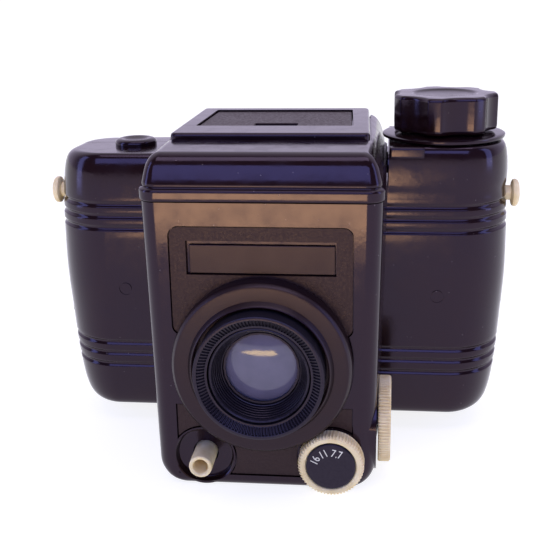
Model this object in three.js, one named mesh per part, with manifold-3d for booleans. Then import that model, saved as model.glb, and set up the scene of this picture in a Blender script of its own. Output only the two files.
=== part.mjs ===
// Box camera for 6 x 6 cm pictures on roll film, in moulded phenolic, built from its separate pieces.
// Units are millimetres. X runs to the right of the camera seen from the front, Y to its back, Z up.
// The origin is on the base, midway between the film drums and under the axes of the two film spools.
import * as THREE from "three";
import { mergeVertices } from "three/addons/utils/BufferGeometryUtils.js";
import Module from "manifold-3d";

const wasm = await Module();
wasm.setup();

// ---------- Driving dimensions ----------

const GAP = 0.3; // between pieces that touch or are cut by each other
const SLIDE_GAP = 0.4; // around pieces that slide or turn
const SHAFT_FIT = 0.15; // between a shaft or pin and its bearing
const CUT = 5; // how far a cutting shape runs past the wall that it cuts

// Front block and film drums, one moulding that the back cover completes
const FRONT_Y = -50;
const PARTING_Y = 8;
const BLOCK_HALF = 29.7;
const BLOCK_TAPER = 1.55;
const BLOCK_REAR_HALF = 31.6;
const BLOCK_FLARE_Y = -17;
const BLOCK_TOP = 76.6;
const BLOCK_CORNER = 4;
const BACK_Y = 30;
const BACK_HALF = 36;
const DRUM_HALF = 64.5;
const DRUM_FRONT_Y = -16.5;
const DRUM_REAR_Y = 22;
const DRUM_FRONT_CORNER = 16;
const DRUM_REAR_CORNER = 12;
const DRUM_BOTTOM = 5.4;
const DRUM_TOP = 82;
const DRUM_DEPTH_INSET = 0.6; // share of the inset that the drums' front and rear take
const DRUM_GROOVES = [19.4, 23, 26.4, 61, 64.4, 67.8];
const GROOVE_HALF = 0.9;
const GROOVE_DEPTH = 0.8;
const WALL = 2.4;
const DRUM_FLOOR = 1.4;

// Film, its spools and the picture opening
const FILM_Z = 40;
const FILM_Y = 24;
const PICTURE = 56;
const SPOOL_LENGTH = 65.8;
const SPOOL_FLANGE_RADIUS = 12.55;
const SPOOL_FLANGE = 1.2;
const SPOOL_CORE_RADIUS = 6;
const SPOOL_BORE_RADIUS = 3;
const SPOOL_X = 45.6;
const SPOOL_Y = 1.3;
const SPOOL_PIN_RADIUS = 2;
const SPOOL_BASE = FILM_Z - SPOOL_LENGTH / 2;
const SPOOL_END = FILM_Z + SPOOL_LENGTH / 2;

// Lens, shutter and stops
const LENS_Z = 35;
const SURROUND_RADIUS = 22.8;
const SURROUND_FRONT_Y = FRONT_Y - 4.5;
const SURROUND_LIP = 1.5;
const SURROUND_LIP_WIDTH = 0.4;
const SURROUND_FLOOR_Y = FRONT_Y - 2;
const RING_RADIUS = 16.3;
const RING_GROOVE = 0.7; // open ring of space between the lens ring and the surround
const RING_FRONT_Y = FRONT_Y - 10;
const RING_BEVEL = [0.9, 3.05, 1.5]; // flat, width and depth of the ring's front, from its edge inwards
const LENS_BARREL_RADIUS = 12.6;
const LENS_RADIUS = 9.6;
const LENS_SEAT_Y = FRONT_Y - 1;
const PLATE_Y = FRONT_Y + 9;
const PLATE_THICKNESS = 1;
const SHUTTER_HOLE_RADIUS = 5.4;
const PIVOT_RADIUS = 1; // of the pins that the stop plate and the shutter blade turn on

// Controls
const RELEASE_X = -16;
const RELEASE_Z = 8.5;
const RELEASE_RADIUS = 3;
const RELEASE_BORE_RADIUS = 1.9;
const RELEASE_FRONT_Y = FRONT_Y - 6;
const DISH_RADIUS = 7.6;
const DISH_DEPTH = 2.6;
const DIAL_X = 17.4;
const DIAL_Z = 8.9;
const DIAL_RADIUS = 8.5;
const DIAL_FRONT_Y = FRONT_Y - 4;
const DIAL_FACE_RADIUS = 6.3;
const DIAL_SHAFT_RADIUS = 1.5;
const SPEED_Y = FRONT_Y + 14;
const SPEED_Z = 14.5;
const SPEED_RADIUS = 11.5;
const SPEED_THICKNESS = 3.3;
const SPEED_OUTER_X = 32.5;
const SPEED_SHAFT_RADIUS = 2;
const SPEED_BEARING_X = 22;

// Top hood and pop-up finder
const HOOD_HALF = 30.3;
const HOOD_FRONT_Y = FRONT_Y - 0.6;
const HOOD_REAR_Y = 21;
const HOOD_CORNER = 5;
const HOOD_TOP = 88.3;
const HOOD_BOTTOM = BLOCK_TOP + GAP;
const FINDER_FRONT_Y = -28;
const FINDER_REAR_Y = 18;
const FINDER_FRONT_HALF = 26;
const FINDER_REAR_HALF = 24.8;
const FINDER_TOP = 89.9;
const FINDER_PLATE = 2.4;
const FINDER_HEIGHT = 20;
const FINDER_INSET = 3.6;
const FINDER_WALL = 1.4;
const PANEL_FRONT_Y = -15.5;
const PANEL_REAR_Y = 13.5;
const PANEL_FRONT_HALF = 21;
const PANEL_REAR_HALF = 19.8;
const PANEL_RECESS = 0.5;
const PANEL_THICKNESS = 0.8;
const CATCH_HALF = 5.9;
const CATCH_DEPTH = 7.2;
const WELL_BOTTOM = 69.4;
const WELL_FLOOR = 1.2;

// Winding knob
const KNOB_X = SPOOL_X; // the knob turns the take-up spool directly
const KNOB_RADIUS = 14.6;
const KNOB_TOP = 96.5;
const SKIRT_RADIUS = 17.2;
const SKIRT_BOTTOM = 84.5;
const SKIRT_TOP = 86.1;
const SHAFT_RADIUS = 2.6;

// Strap lugs, hinge, catch, windows and base
const LUG_Z = 68.5;
const LUG_RADIUS = 3.9;
const LUG_STEM = 2.1;
const HINGE_X = -65.2;
const HINGE_Y = PARTING_Y + 0.2;
const HINGE_Z = 43;
const HINGE_LENGTH = 30;
const HINGE_RADIUS = 2.3;
const HINGE_PIN_RADIUS = 1;
const LATCH_Z = 43;
const LATCH_HALF = 6;
const LATCH_TRAVEL = 4;
const LATCH_STUD_Y = PARTING_Y - 3.4;
const LATCH_REAR_Y = PARTING_Y + 6;
const LATCH_STUD_RADIUS = 1.2;
const LATCH_SUNK = 1.4;
const RED_WINDOW_RADIUS = 5.5;
const TRIPOD_RADIUS = 5.5;
const TRIPOD_BORE = 3.2;
const TRIPOD_Y = FRONT_Y + 22;

// ---------- Materials ----------

const PHENOLIC = { color: 0x241a20, roughness: 0.22, metalness: 0 };
const GRAINED = { color: 0x2a2326, roughness: 0.6, metalness: 0 };
const BLACK_METAL = { color: 0x17161a, roughness: 0.4, metalness: 0.6 };
const IVORY = { color: 0xd8c9a0, roughness: 0.4, metalness: 0 };
const STEEL = { color: 0x9a9a98, roughness: 0.35, metalness: 1 };
const BRASS = { color: 0xb08d4a, roughness: 0.35, metalness: 1 };
const GLASS = { color: 0xb8bcd0, roughness: 0.05, metalness: 0, transparent: true, opacity: 0.4 };
const RED_GLASS = { color: 0x8a1010, roughness: 0.1, metalness: 0, transparent: true, opacity: 0.6 };

// ---------- Solids ----------

// A closed geometry as a solid, turned the right way out.
function solid(geometry) {
  const bare = geometry.index ? geometry.toNonIndexed() : geometry.clone();
  bare.deleteAttribute("normal");
  bare.deleteAttribute("uv");
  const merged = mergeVertices(bare, 1e-4);
  const corners = merged.index.array;
  const faces = [];
  for (let i = 0; i < corners.length; i += 3) {
    const [a, b, c] = [corners[i], corners[i + 1], corners[i + 2]];
    if (a !== b && b !== c && c !== a) faces.push(a, b, c);
  }
  const vertProperties = merged.attributes.position.array;
  const make = (list) =>
    new wasm.Manifold(new wasm.Mesh({ numProp: 3, vertProperties, triVerts: new Uint32Array(list) }));
  const made = make(faces);
  return made.volume() > 0 ? made : make(faces.reverse());
}

function moved(geometry, x = 0, y = 0, z = 0) {
  return geometry.translate(x, y, z);
}

function box(x0, x1, y0, y1, z0, z1) {
  const size = new THREE.BoxGeometry(x1 - x0, y1 - y0, z1 - z0);
  return solid(moved(size, (x0 + x1) / 2, (y0 + y1) / 2, (z0 + z1) / 2));
}

// A round bar from start to end on an axis through (a, b), the other two coordinates in X, Y, Z order.
function bar(axis, a, b, start, end, radius, sides = 24) {
  const shape = new THREE.CylinderGeometry(radius, radius, end - start, sides);
  const middle = (start + end) / 2;
  if (axis === "z") return solid(moved(shape.rotateX(Math.PI / 2), a, b, middle));
  if (axis === "x") return solid(moved(shape.rotateZ(Math.PI / 2), middle, a, b));
  return solid(moved(shape, a, middle, b));
}

// A turned piece from [radius, place] points of a closed profile, about an axis through (a, b).
function turned(axis, a, b, profile, sides = 32) {
  const points = [...profile, profile[0]].map(([r, p]) => new THREE.Vector2(r, p));
  const shape = new THREE.LatheGeometry(points, sides);
  if (axis === "z") return solid(moved(shape.rotateX(Math.PI / 2), a, b, 0));
  if (axis === "x") return solid(moved(shape.rotateZ(-Math.PI / 2), 0, a, b));
  return solid(moved(shape, a, 0, b));
}

function outline(points) {
  return new THREE.Shape(points.map(([x, y]) => new THREE.Vector2(x, y)));
}

// A symmetric outline in plan with rounded corners, from y0 with one half-width to y1 with another.
function plan(front, rear, y0, y1, frontCorner, rearCorner) {
  const shape = new THREE.Shape();
  shape.moveTo(-front + frontCorner, y0);
  shape.absarc(front - frontCorner, y0 + frontCorner, frontCorner, -Math.PI / 2, 0, false);
  shape.absarc(rear - rearCorner, y1 - rearCorner, rearCorner, 0, Math.PI / 2, false);
  shape.absarc(-rear + rearCorner, y1 - rearCorner, rearCorner, Math.PI / 2, Math.PI, false);
  shape.absarc(-front + frontCorner, y0 + frontCorner, frontCorner, Math.PI, 1.5 * Math.PI, false);
  return shape;
}

// A plan outline raised through [z, inset] levels: each level is drawn in by its inset at the sides, and by
// the given share of it at front and rear.
function raised(shape, levels, sides = 7, share = 1) {
  const steps = levels.length - 1;
  const geometry = new THREE.ExtrudeGeometry(shape, {
    depth: steps,
    steps,
    bevelEnabled: false,
    curveSegments: sides,
  });
  geometry.computeBoundingBox();
  const { min, max } = geometry.boundingBox;
  const middleY = (min.y + max.y) / 2;
  const halfX = max.x;
  const halfY = max.y - middleY;
  const place = geometry.attributes.position;
  for (let i = 0; i < place.count; i += 1) {
    const [z, inset] = levels[Math.round(place.getZ(i))];
    const x = place.getX(i) * (1 - inset / halfX);
    const y = middleY + (place.getY(i) - middleY) * (1 - (share * inset) / halfY);
    place.setXYZ(i, x, y, z);
  }
  return solid(geometry);
}

function plate(shape, z0, z1, sides = 8) {
  return raised(shape, [[z0, 0], [z1, 0]], sides);
}

// A block whose front and back faces differ: each face is [y, half-width, bottom, top].
function frustum([y0, half0, bottom0, top0], [y1, half1, bottom1, top1]) {
  const geometry = new THREE.BoxGeometry(2, 2, 2);
  const place = geometry.attributes.position;
  for (let i = 0; i < place.count; i += 1) {
    const atFront = place.getY(i) < 0;
    const half = atFront ? half0 : half1;
    const [bottom, top] = atFront ? [bottom0, top0] : [bottom1, top1];
    place.setXYZ(i, place.getX(i) * half, atFront ? y0 : y1, place.getZ(i) < 0 ? bottom : top);
  }
  return solid(geometry);
}

// A toothed or fluted outline: each tooth is [share of its pitch, radius] points.
function toothed(count, tooth, turn = 0) {
  const points = [];
  for (let i = 0; i < count; i += 1) {
    for (const [share, radius] of tooth) {
      const angle = ((i + share) / count) * 2 * Math.PI + turn;
      points.push([radius * Math.cos(angle), radius * Math.sin(angle)]);
    }
  }
  return outline(points);
}

// A flat outline given in X and Z, as a sheet from y0 to y1.
function sheet(shape, y0, y1, x = 0, z = 0, sides = 8) {
  const geometry = new THREE.ExtrudeGeometry(shape, {
    depth: y1 - y0,
    bevelEnabled: false,
    curveSegments: sides,
  });
  return solid(moved(geometry.rotateX(Math.PI / 2), x, y1, z));
}

// A helical wire spring about an axis along Y or Z, its ends left open.
function coil(axis, a, b, start, end, radius, wire, turns) {
  class Helix extends THREE.Curve {
    getPoint(t, target = new THREE.Vector3()) {
      const angle = 2 * Math.PI * turns * t;
      const rise = start + wire + (end - start - 2 * wire) * t;
      if (axis === "y") return target.set(a + radius * Math.cos(angle), rise, b + radius * Math.sin(angle));
      return target.set(a + radius * Math.cos(angle), b + radius * Math.sin(angle), rise);
    }
  }
  const section = outline([0, 1, 2, 3].map((k) => {
    const angle = (k / 4) * 2 * Math.PI;
    return [wire * Math.cos(angle), wire * Math.sin(angle)];
  }));
  return solid(new THREE.ExtrudeGeometry(section, {
    steps: turns * 10,
    extrudePath: new Helix(),
    bevelEnabled: false,
  }));
}

function joined(first, ...rest) {
  return rest.reduce((whole, piece) => whole.add(piece), first);
}

function cut(first, ...rest) {
  return rest.reduce((whole, piece) => whole.subtract(piece), first);
}

// ---------- Outer shell ----------

// How far the drums draw in towards their ends, as [z, inset] from base to top.
const DRUM_PROFILE = [
  [DRUM_BOTTOM, 7.6],
  [DRUM_BOTTOM + 0.5, 6],
  [DRUM_BOTTOM + 1.6, 4.7],
  [DRUM_BOTTOM + 3.6, 3.7],
  [DRUM_BOTTOM + 7.6, 2.7],
  [DRUM_BOTTOM + 17, 1.5],
  [DRUM_BOTTOM + 28, 0.8],
  [DRUM_BOTTOM + 43, 0],
  [DRUM_BOTTOM + 56, 0.2],
  [DRUM_TOP - 14, 0.6],
  [DRUM_TOP - 6, 1.5],
  [DRUM_TOP - 2.4, 2.4],
  [DRUM_TOP - 0.7, 3.8],
  [DRUM_TOP, 6],
];

function drumInset(z) {
  const above = DRUM_PROFILE.findIndex(([level]) => level >= z);
  if (above < 1) return DRUM_PROFILE[Math.max(above, 0)][1];
  const [z0, inset0] = DRUM_PROFILE[above - 1];
  const [z1, inset1] = DRUM_PROFILE[above];
  return inset0 + ((inset1 - inset0) * (z - z0)) / (z1 - z0);
}

function drumLevels() {
  const grooves = DRUM_GROOVES.flatMap((z) => [
    [z - GROOVE_HALF, drumInset(z - GROOVE_HALF)],
    [z, drumInset(z) + GROOVE_DEPTH],
    [z + GROOVE_HALF, drumInset(z + GROOVE_HALF)],
  ]);
  const clear = DRUM_PROFILE.filter(([z]) => DRUM_GROOVES.every((g) => Math.abs(g - z) > 2 * GROOVE_HALF));
  return [...clear, ...grooves].sort((p, q) => p[0] - q[0]);
}

const DRUM_PLAN = plan(
  DRUM_HALF, DRUM_HALF, DRUM_FRONT_Y, DRUM_REAR_Y, DRUM_FRONT_CORNER, DRUM_REAR_CORNER,
);

function drums() {
  return raised(DRUM_PLAN, drumLevels(), 3, DRUM_DEPTH_INSET);
}

function drumHollow() {
  const inner = plan(
    DRUM_HALF - WALL, DRUM_HALF - WALL, DRUM_FRONT_Y + WALL, DRUM_REAR_Y - WALL,
    DRUM_FRONT_CORNER - WALL, DRUM_REAR_CORNER - WALL,
  );
  const floor = DRUM_BOTTOM + DRUM_FLOOR;
  const levels = [
    [floor, 3.6],
    [floor + 3, 2.9],
    [floor + 7, 2.3],
    [floor + 14, 1.7],
    [floor + 38, 0.2],
    [DRUM_TOP - 14, 0.8],
    [DRUM_TOP - WALL - 1, 2.6],
    [DRUM_TOP - WALL, 3.6],
  ];
  return raised(inner, levels, 2, DRUM_DEPTH_INSET);
}

// The front block with its back bulge, tapered towards the base.
function block() {
  const levels = [[0, BLOCK_TAPER + 1], [1, BLOCK_TAPER + 0.1], [3, BLOCK_TAPER - 0.1], [BLOCK_TOP, 0]];
  const front = plan(BLOCK_HALF, BLOCK_REAR_HALF, FRONT_Y, PARTING_Y + 4, BLOCK_CORNER, 1);
  const bulge = plan(BACK_HALF, BACK_HALF, BLOCK_FLARE_Y + 6, BACK_Y, 1, BLOCK_CORNER);
  const base = DRUM_BOTTOM;
  const bulgeLevels = [
    [base, 4], [base + 1, 2.2], [base + 3, 0.9], [base + 7, 0.2], [30, 0], [BLOCK_TOP - 2, 0], [BLOCK_TOP, 1.4],
  ];
  return joined(raised(front, levels, 3), raised(bulge, bulgeLevels, 2));
}

function blockHollow() {
  const front = plan(
    BLOCK_HALF - WALL - BLOCK_TAPER, BLOCK_REAR_HALF - WALL - BLOCK_TAPER,
    FRONT_Y + WALL, PARTING_Y + 4, BLOCK_CORNER - WALL, 1,
  );
  const bulge = plan(
    BACK_HALF - WALL, BACK_HALF - WALL, BLOCK_FLARE_Y + 9, BACK_Y - WALL, 1, BLOCK_CORNER - WALL,
  );
  const floor = DRUM_BOTTOM + DRUM_FLOOR;
  return joined(plate(front, WALL, BLOCK_TOP + CUT, 2), plate(bulge, floor, BLOCK_TOP - WALL, 2));
}

// The space above the block that the hood takes, with its gap.
function hoodSpace() {
  return box(
    -HOOD_HALF - GAP, HOOD_HALF + GAP, FRONT_Y - CUT, BACK_Y + CUT, BLOCK_TOP, KNOB_TOP,
  );
}

// The right drum's upper end, which runs on up to the knob's skirt.
function rightDrumTop() {
  const top = SKIRT_BOTTOM - SLIDE_GAP;
  const levels = [
    [DRUM_TOP - 20, 0.9], [DRUM_TOP - 13, 0.5], [DRUM_TOP - 4, 0.7], [DRUM_TOP, 1.2], [top - 0.6, 1.9], [top, 3],
  ];
  const rest = box(-90, HOOD_HALF + 2 * GAP, -90, 90, -CUT, KNOB_TOP);
  return cut(raised(DRUM_PLAN, levels, 3, DRUM_DEPTH_INSET), rest);
}

const SHELL = cut(joined(drums(), rightDrumTop(), block()), drumHollow(), blockHollow(), hoodSpace());

const BOSS_PLACES = [[-20, 58], [20, 58], [-20, 23]];
const BOSS_RADIUS = 2.6;
const SCREW_RADIUS = 1;

function hingeBarrel(z0, z1, radius) {
  return bar("z", HINGE_X, HINGE_Y, z0, z1, radius, 20);
}

const KNUCKLE = HINGE_LENGTH / 3;
const HINGE_LOW = HINGE_Z - HINGE_LENGTH / 2;

// A knuckle's barrel with the web that joins it to the wall on its own side of the parting line.
function knuckle(index, side) {
  const z0 = HINGE_LOW + index * KNUCKLE + GAP / 2;
  const z1 = z0 + KNUCKLE - GAP;
  const y0 = side < 0 ? HINGE_Y - HINGE_RADIUS : HINGE_Y + 0.5;
  const y1 = y0 + HINGE_RADIUS - 0.5;
  const web = box(HINGE_X, -DRUM_HALF + 1.2, y0, y1, z0, z1);
  return joined(hingeBarrel(z0, z1, HINGE_RADIUS), web);
}

const HINGE_TOP = HINGE_LOW + HINGE_LENGTH;
const PIN_HEAD_RADIUS = HINGE_PIN_RADIUS + 0.6;
const HINGE_BORE = joined(
  hingeBarrel(HINGE_LOW - CUT, HINGE_TOP + CUT, HINGE_PIN_RADIUS + 0.1),
  hingeBarrel(HINGE_TOP, HINGE_TOP + 1.2 + GAP, PIN_HEAD_RADIUS + GAP),
);

// The flat recess in the right drum's side that the cover's catch slides in.
function latchRecess() {
  const travel = LATCH_TRAVEL + SLIDE_GAP;
  return box(
    DRUM_HALF - LATCH_SUNK, DRUM_HALF + CUT, LATCH_STUD_Y - LATCH_STUD_RADIUS - 2, LATCH_REAR_Y + SLIDE_GAP,
    LATCH_Z - LATCH_STUD_RADIUS - travel - 3, LATCH_Z + LATCH_HALF + travel,
  );
}

// The recess in the block's right front edge that the speed wheel turns in.
function speedRecess() {
  return bar("x", SPEED_Y, SPEED_Z, SPEED_OUTER_X - SPEED_THICKNESS - SLIDE_GAP, SPEED_OUTER_X + CUT,
    SPEED_RADIUS + 0.6, 40);
}

const SPEED_INNER_X = SPEED_OUTER_X - SPEED_THICKNESS;

function speedBoss() {
  return bar("x", SPEED_Y, SPEED_Z, SPEED_BEARING_X + 2.2, SPEED_INNER_X - SLIDE_GAP, SPEED_RADIUS + 2, 32);
}

// The boss in the top left of the drum with its dished face.
function drumBoss() {
  const z = DRUM_TOP;
  return turned("z", -SPOOL_X + 2.9, 2.4, [
    [0, z - 1], [6, z - 1], [6, z + 0.3], [5.4, z + 1.2], [4.4, z + 1.5], [3.4, z + 1.2], [0, z + 0.7],
  ]);
}

// A shallow seat in the front wall holds the grained panel and the spigot of the lens surround. It has an
// upper field with rounded corners, a round one under the surround, and a lower one beside the controls.
const SEAT_DEPTH = 1.6;
const PANEL_SUNK = 0.4;
const PANEL_HALF = 22.6;
const PANEL_TOP = 70.5;
const PANEL_STEP = 42.6;
const PANEL_LOWER_TOP = LENS_Z - 12;
const PANEL_BOTTOM = 3.6;
const PANEL_CORNER = 2.3;
const SPIGOT_RADIUS = 18.7;

function panelSpace(grow, y0, y1) {
  const half = PANEL_HALF + grow;
  const corner = PANEL_CORNER + grow;
  const upper = plan(half, half, PANEL_STEP - grow, PANEL_TOP + grow, corner, corner);
  const lower = box(-half, half, y0, y1, PANEL_BOTTOM - grow, PANEL_LOWER_TOP + grow);
  return cut(
    joined(sheet(upper, y0, y1, 0, 0, 4), lower, bar("y", 0, LENS_Z, y0, y1, SURROUND_RADIUS + grow, 36)),
    bar("y", RELEASE_X, RELEASE_Z, y0 - CUT, y1 + CUT, DISH_RADIUS + 1 - grow, 40),
    bar("y", DIAL_X, DIAL_Z, y0 - CUT, y1 + CUT, DIAL_RADIUS + 0.6 - grow, 40),
  );
}

const PANEL_Y = [FRONT_Y + PANEL_SUNK, FRONT_Y + SEAT_DEPTH - GAP];

function frontBody() {
  const wall = PLATE_Y - GAP;
  const bosses = BOSS_PLACES.map(([x, z]) => bar("y", x, z, FRONT_Y + 1, wall, BOSS_RADIUS, 16));
  const bossHoles = BOSS_PLACES.map(([x, z]) => {
    return bar("y", x, z, FRONT_Y + 3, wall + CUT, SCREW_RADIUS + 0.2, 12);
  });
  const step = box(HOOD_HALF + 2 * GAP, 40.4, DRUM_FRONT_Y + 0.4, 4, DRUM_TOP - 1, SKIRT_BOTTOM - SLIDE_GAP);
  const shaftSeat = bar("z", KNOB_X, SPOOL_Y, DRUM_TOP - WALL - 1.5, DRUM_TOP, 6);
  const releaseGuide = bar("y", RELEASE_X, RELEASE_Z, FRONT_Y + 0.5, FRONT_Y + 7, RELEASE_RADIUS + 2.2);
  const dishEnd = FRONT_Y + DISH_DEPTH + 1.5;
  const dish = bar("y", RELEASE_X, RELEASE_Z, FRONT_Y + 0.5, dishEnd, DISH_RADIUS + 0.6, 32);
  const dialBearing = bar("y", DIAL_X, DIAL_Z, FRONT_Y + 0.5, FRONT_Y + 4, 4);
  const studFoot = DRUM_HALF - LATCH_SUNK - 0.5;
  const latchStud = bar("x", LATCH_STUD_Y, LATCH_Z, studFoot, DRUM_HALF - 0.2, LATCH_STUD_RADIUS, 16);
  const shell = cut(
    joined(SHELL, ...bosses, step, shaftSeat, releaseGuide, dish, dialBearing, speedBoss(), drumBoss()),
    box(-90, 90, PARTING_Y, BACK_Y + CUT, -CUT, KNOB_TOP),
  );
  const middle = HINGE_LOW + KNUCKLE;
  return cut(
    joined(cut(shell, latchRecess()), latchStud, knuckle(0, -1), knuckle(2, -1)),
    hingeBarrel(middle - GAP / 2, middle + KNUCKLE + GAP / 2, HINGE_RADIUS + SLIDE_GAP),
    HINGE_BORE,
    panelSpace(GAP, FRONT_Y - CUT, FRONT_Y + SEAT_DEPTH),
    ...bossHoles,
    bar("y", 0, LENS_Z, FRONT_Y - CUT, FRONT_Y + CUT, LENS_BARREL_RADIUS + GAP, 48),
    bar("y", RELEASE_X, RELEASE_Z, FRONT_Y - CUT, FRONT_Y + DISH_DEPTH, DISH_RADIUS, 40),
    bar("y", RELEASE_X, RELEASE_Z, FRONT_Y - CUT, FRONT_Y + 12, RELEASE_RADIUS + SLIDE_GAP),
    bar("y", DIAL_X, DIAL_Z, FRONT_Y - CUT, FRONT_Y + CUT, DIAL_SHAFT_RADIUS + SHAFT_FIT, 20),
    speedRecess(),
    bar("x", SPEED_Y, SPEED_Z, SPEED_BEARING_X - CUT, SPEED_OUTER_X, SPEED_SHAFT_RADIUS + SHAFT_FIT, 20),
    bar("z", KNOB_X, SPOOL_Y, DRUM_TOP - CUT, SKIRT_TOP, SHAFT_RADIUS + SHAFT_FIT, 24),
    bar("z", -SPOOL_X, SPOOL_Y, DRUM_BOTTOM - CUT, SPOOL_BASE, SPOOL_PIN_RADIUS + SHAFT_FIT, 20),
    bar("z", SPOOL_X, SPOOL_Y, DRUM_BOTTOM - CUT, SPOOL_BASE, SPOOL_PIN_RADIUS + SHAFT_FIT, 20),
    bar("z", 0, TRIPOD_Y, -CUT, WALL + CUT, TRIPOD_RADIUS + GAP, 32),
    bar("x", 0, LUG_Z, -DRUM_HALF - CUT, -DRUM_HALF + CUT, LUG_STEM + GAP, 16),
    bar("x", 0, LUG_Z, DRUM_HALF - CUT, DRUM_HALF + CUT, LUG_STEM + GAP, 16),
  );
}

const WINDOW_SEAT_RADIUS = RED_WINDOW_RADIUS + 1.5;
const SHUTTER_TRACK_HALF = 7.6;

// The raised track on the cover's back that the red window's shutter slides in.
function windowTrack() {
  const rail = (z) => box(-9, 22, BACK_Y - 0.5, BACK_Y + 1.6, z - 0.8, z + 0.8);
  return joined(rail(FILM_Z - SHUTTER_TRACK_HALF - 1.1), rail(FILM_Z + SHUTTER_TRACK_HALF + 1.1));
}

function rearCover() {
  const shell = cut(SHELL, box(-90, 90, -90, PARTING_Y + GAP, -CUT, KNOB_TOP), latchRecess());
  const low = hingeBarrel(HINGE_LOW - GAP, HINGE_LOW + KNUCKLE + GAP / 2, HINGE_RADIUS + SLIDE_GAP);
  const highStart = HINGE_LOW + 2 * KNUCKLE - GAP / 2;
  const high = hingeBarrel(highStart, highStart + KNUCKLE + 1.5 * GAP, HINGE_RADIUS + SLIDE_GAP);
  return cut(
    joined(shell, knuckle(1, 1), windowTrack()),
    low,
    high,
    HINGE_BORE,
    bar("y", 0, FILM_Z, BACK_Y - CUT, BACK_Y + CUT, RED_WINDOW_RADIUS, 32),
    bar("y", 0, FILM_Z, BACK_Y - CUT, BACK_Y - 1.2, WINDOW_SEAT_RADIUS + GAP, 32),
  );
}

function hingePin() {
  const pin = hingeBarrel(HINGE_LOW - 1, HINGE_TOP + 1, HINGE_PIN_RADIUS);
  const head = hingeBarrel(HINGE_TOP + GAP, HINGE_TOP + 1.2, PIN_HEAD_RADIUS);
  return joined(pin, head);
}

// The catch slides up until the tooth on its arm is in front of the stud on the body. It rests unlocked.
function coverLatch() {
  const x = DRUM_HALF - LATCH_SUNK + GAP;
  const low = LATCH_Z - LATCH_STUD_RADIUS - SLIDE_GAP;
  const armTop = low - LATCH_TRAVEL;
  const toothY = LATCH_STUD_Y - LATCH_STUD_RADIUS - SLIDE_GAP;
  const plateY = PARTING_Y + 1;
  return joined(
    box(x, x + 1, plateY, LATCH_REAR_Y, armTop - 1.8, LATCH_Z + LATCH_HALF),
    box(x, x + 2, plateY + 1.4, plateY + 3.6, LATCH_Z - 4, LATCH_Z + 4),
    box(x, x + 1, toothY - 0.9, plateY + 1, armTop - 1.8, armTop),
    box(x, x + 1, toothY - 0.9, toothY, armTop - 1.8, low),
  );
}

// ---------- Hood and finder ----------

function finderPlan(grow, inset = 0) {
  return plan(
    FINDER_FRONT_HALF + grow - inset, FINDER_REAR_HALF + grow - inset,
    FINDER_FRONT_Y - grow + inset, FINDER_REAR_Y + grow - inset, 1.6, 1.6,
  );
}

const PLATE_BOTTOM = FINDER_TOP - FINDER_PLATE;

function topHood() {
  const levels = [
    [HOOD_BOTTOM, 0.3], [HOOD_BOTTOM + 0.4, 0], [HOOD_BOTTOM + 2.6, 0], [HOOD_BOTTOM + 2.9, 0.7],
    [HOOD_BOTTOM + 5, 1], [HOOD_TOP - 4, 2.1], [HOOD_TOP - 2, 2.4], [HOOD_TOP - 0.7, 2.8], [HOOD_TOP, 3.4],
  ];
  const outer = raised(
    plan(HOOD_HALF, HOOD_HALF, HOOD_FRONT_Y, HOOD_REAR_Y, BLOCK_CORNER + 0.6, HOOD_CORNER), levels, 3,
  );
  const inner = plate(
    plan(HOOD_HALF - 3.4, HOOD_HALF - 3.4, HOOD_FRONT_Y + 3.4, HOOD_REAR_Y - 3, 2, 2),
    HOOD_BOTTOM - CUT, PLATE_BOTTOM - GAP - 1.6, 2,
  );
  const wellPlan = finderPlan(SLIDE_GAP + 1.3, FINDER_INSET);
  const wellOuter = plate(wellPlan, WELL_BOTTOM - WELL_FLOOR, PLATE_BOTTOM - GAP, 3);
  const well = plate(finderPlan(SLIDE_GAP, FINDER_INSET), WELL_BOTTOM, FINDER_TOP + CUT, 3);
  const plateSeat = plate(finderPlan(SLIDE_GAP), PLATE_BOTTOM - GAP, FINDER_TOP + CUT, 3);
  return cut(joined(cut(outer, inner), wellOuter), well, plateSeat);
}

function panelPlan(grow) {
  return plan(
    PANEL_FRONT_HALF + grow, PANEL_REAR_HALF + grow, PANEL_FRONT_Y - grow, PANEL_REAR_Y + grow, 0.6, 0.6,
  );
}

const HOUSING_BOTTOM = FINDER_TOP - FINDER_HEIGHT;

function catchPocket(z0, z1) {
  return box(-CATCH_HALF, CATCH_HALF, PANEL_FRONT_Y - GAP, PANEL_FRONT_Y + CATCH_DEPTH, z0, z1);
}

const FRONT_WINDOW = { half: 15, bottom: HOUSING_BOTTOM + 3.2, top: PLATE_BOTTOM - 1.6 };
const REAR_WINDOW = { half: 6, bottom: HOUSING_BOTTOM + 4.6, top: PLATE_BOTTOM - 3 };

function windowSpace({ half, bottom, top }, y0, y1, grow) {
  return box(-half - grow, half + grow, y0, y1, bottom - grow, top + grow);
}

function finderHousing() {
  const lid = plate(finderPlan(0), PLATE_BOTTOM, FINDER_TOP, 3);
  const tube = cut(
    plate(finderPlan(0, FINDER_INSET), HOUSING_BOTTOM, PLATE_BOTTOM + 0.5, 3),
    plate(finderPlan(-FINDER_WALL, FINDER_INSET), HOUSING_BOTTOM - CUT, PLATE_BOTTOM, 3),
  );
  const seatFloor = FINDER_TOP - PANEL_RECESS - PANEL_THICKNESS - GAP;
  const seat = plate(panelPlan(GAP), seatFloor, FINDER_TOP + CUT, 3);
  const front = windowSpace(FRONT_WINDOW, FINDER_FRONT_Y, FINDER_FRONT_Y + 8, 0);
  const rear = windowSpace(REAR_WINDOW, FINDER_REAR_Y - 8, FINDER_REAR_Y, 0);
  return cut(joined(lid, tube), seat, front, rear, catchPocket(PLATE_BOTTOM + 0.5, FINDER_TOP + CUT));
}

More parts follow.
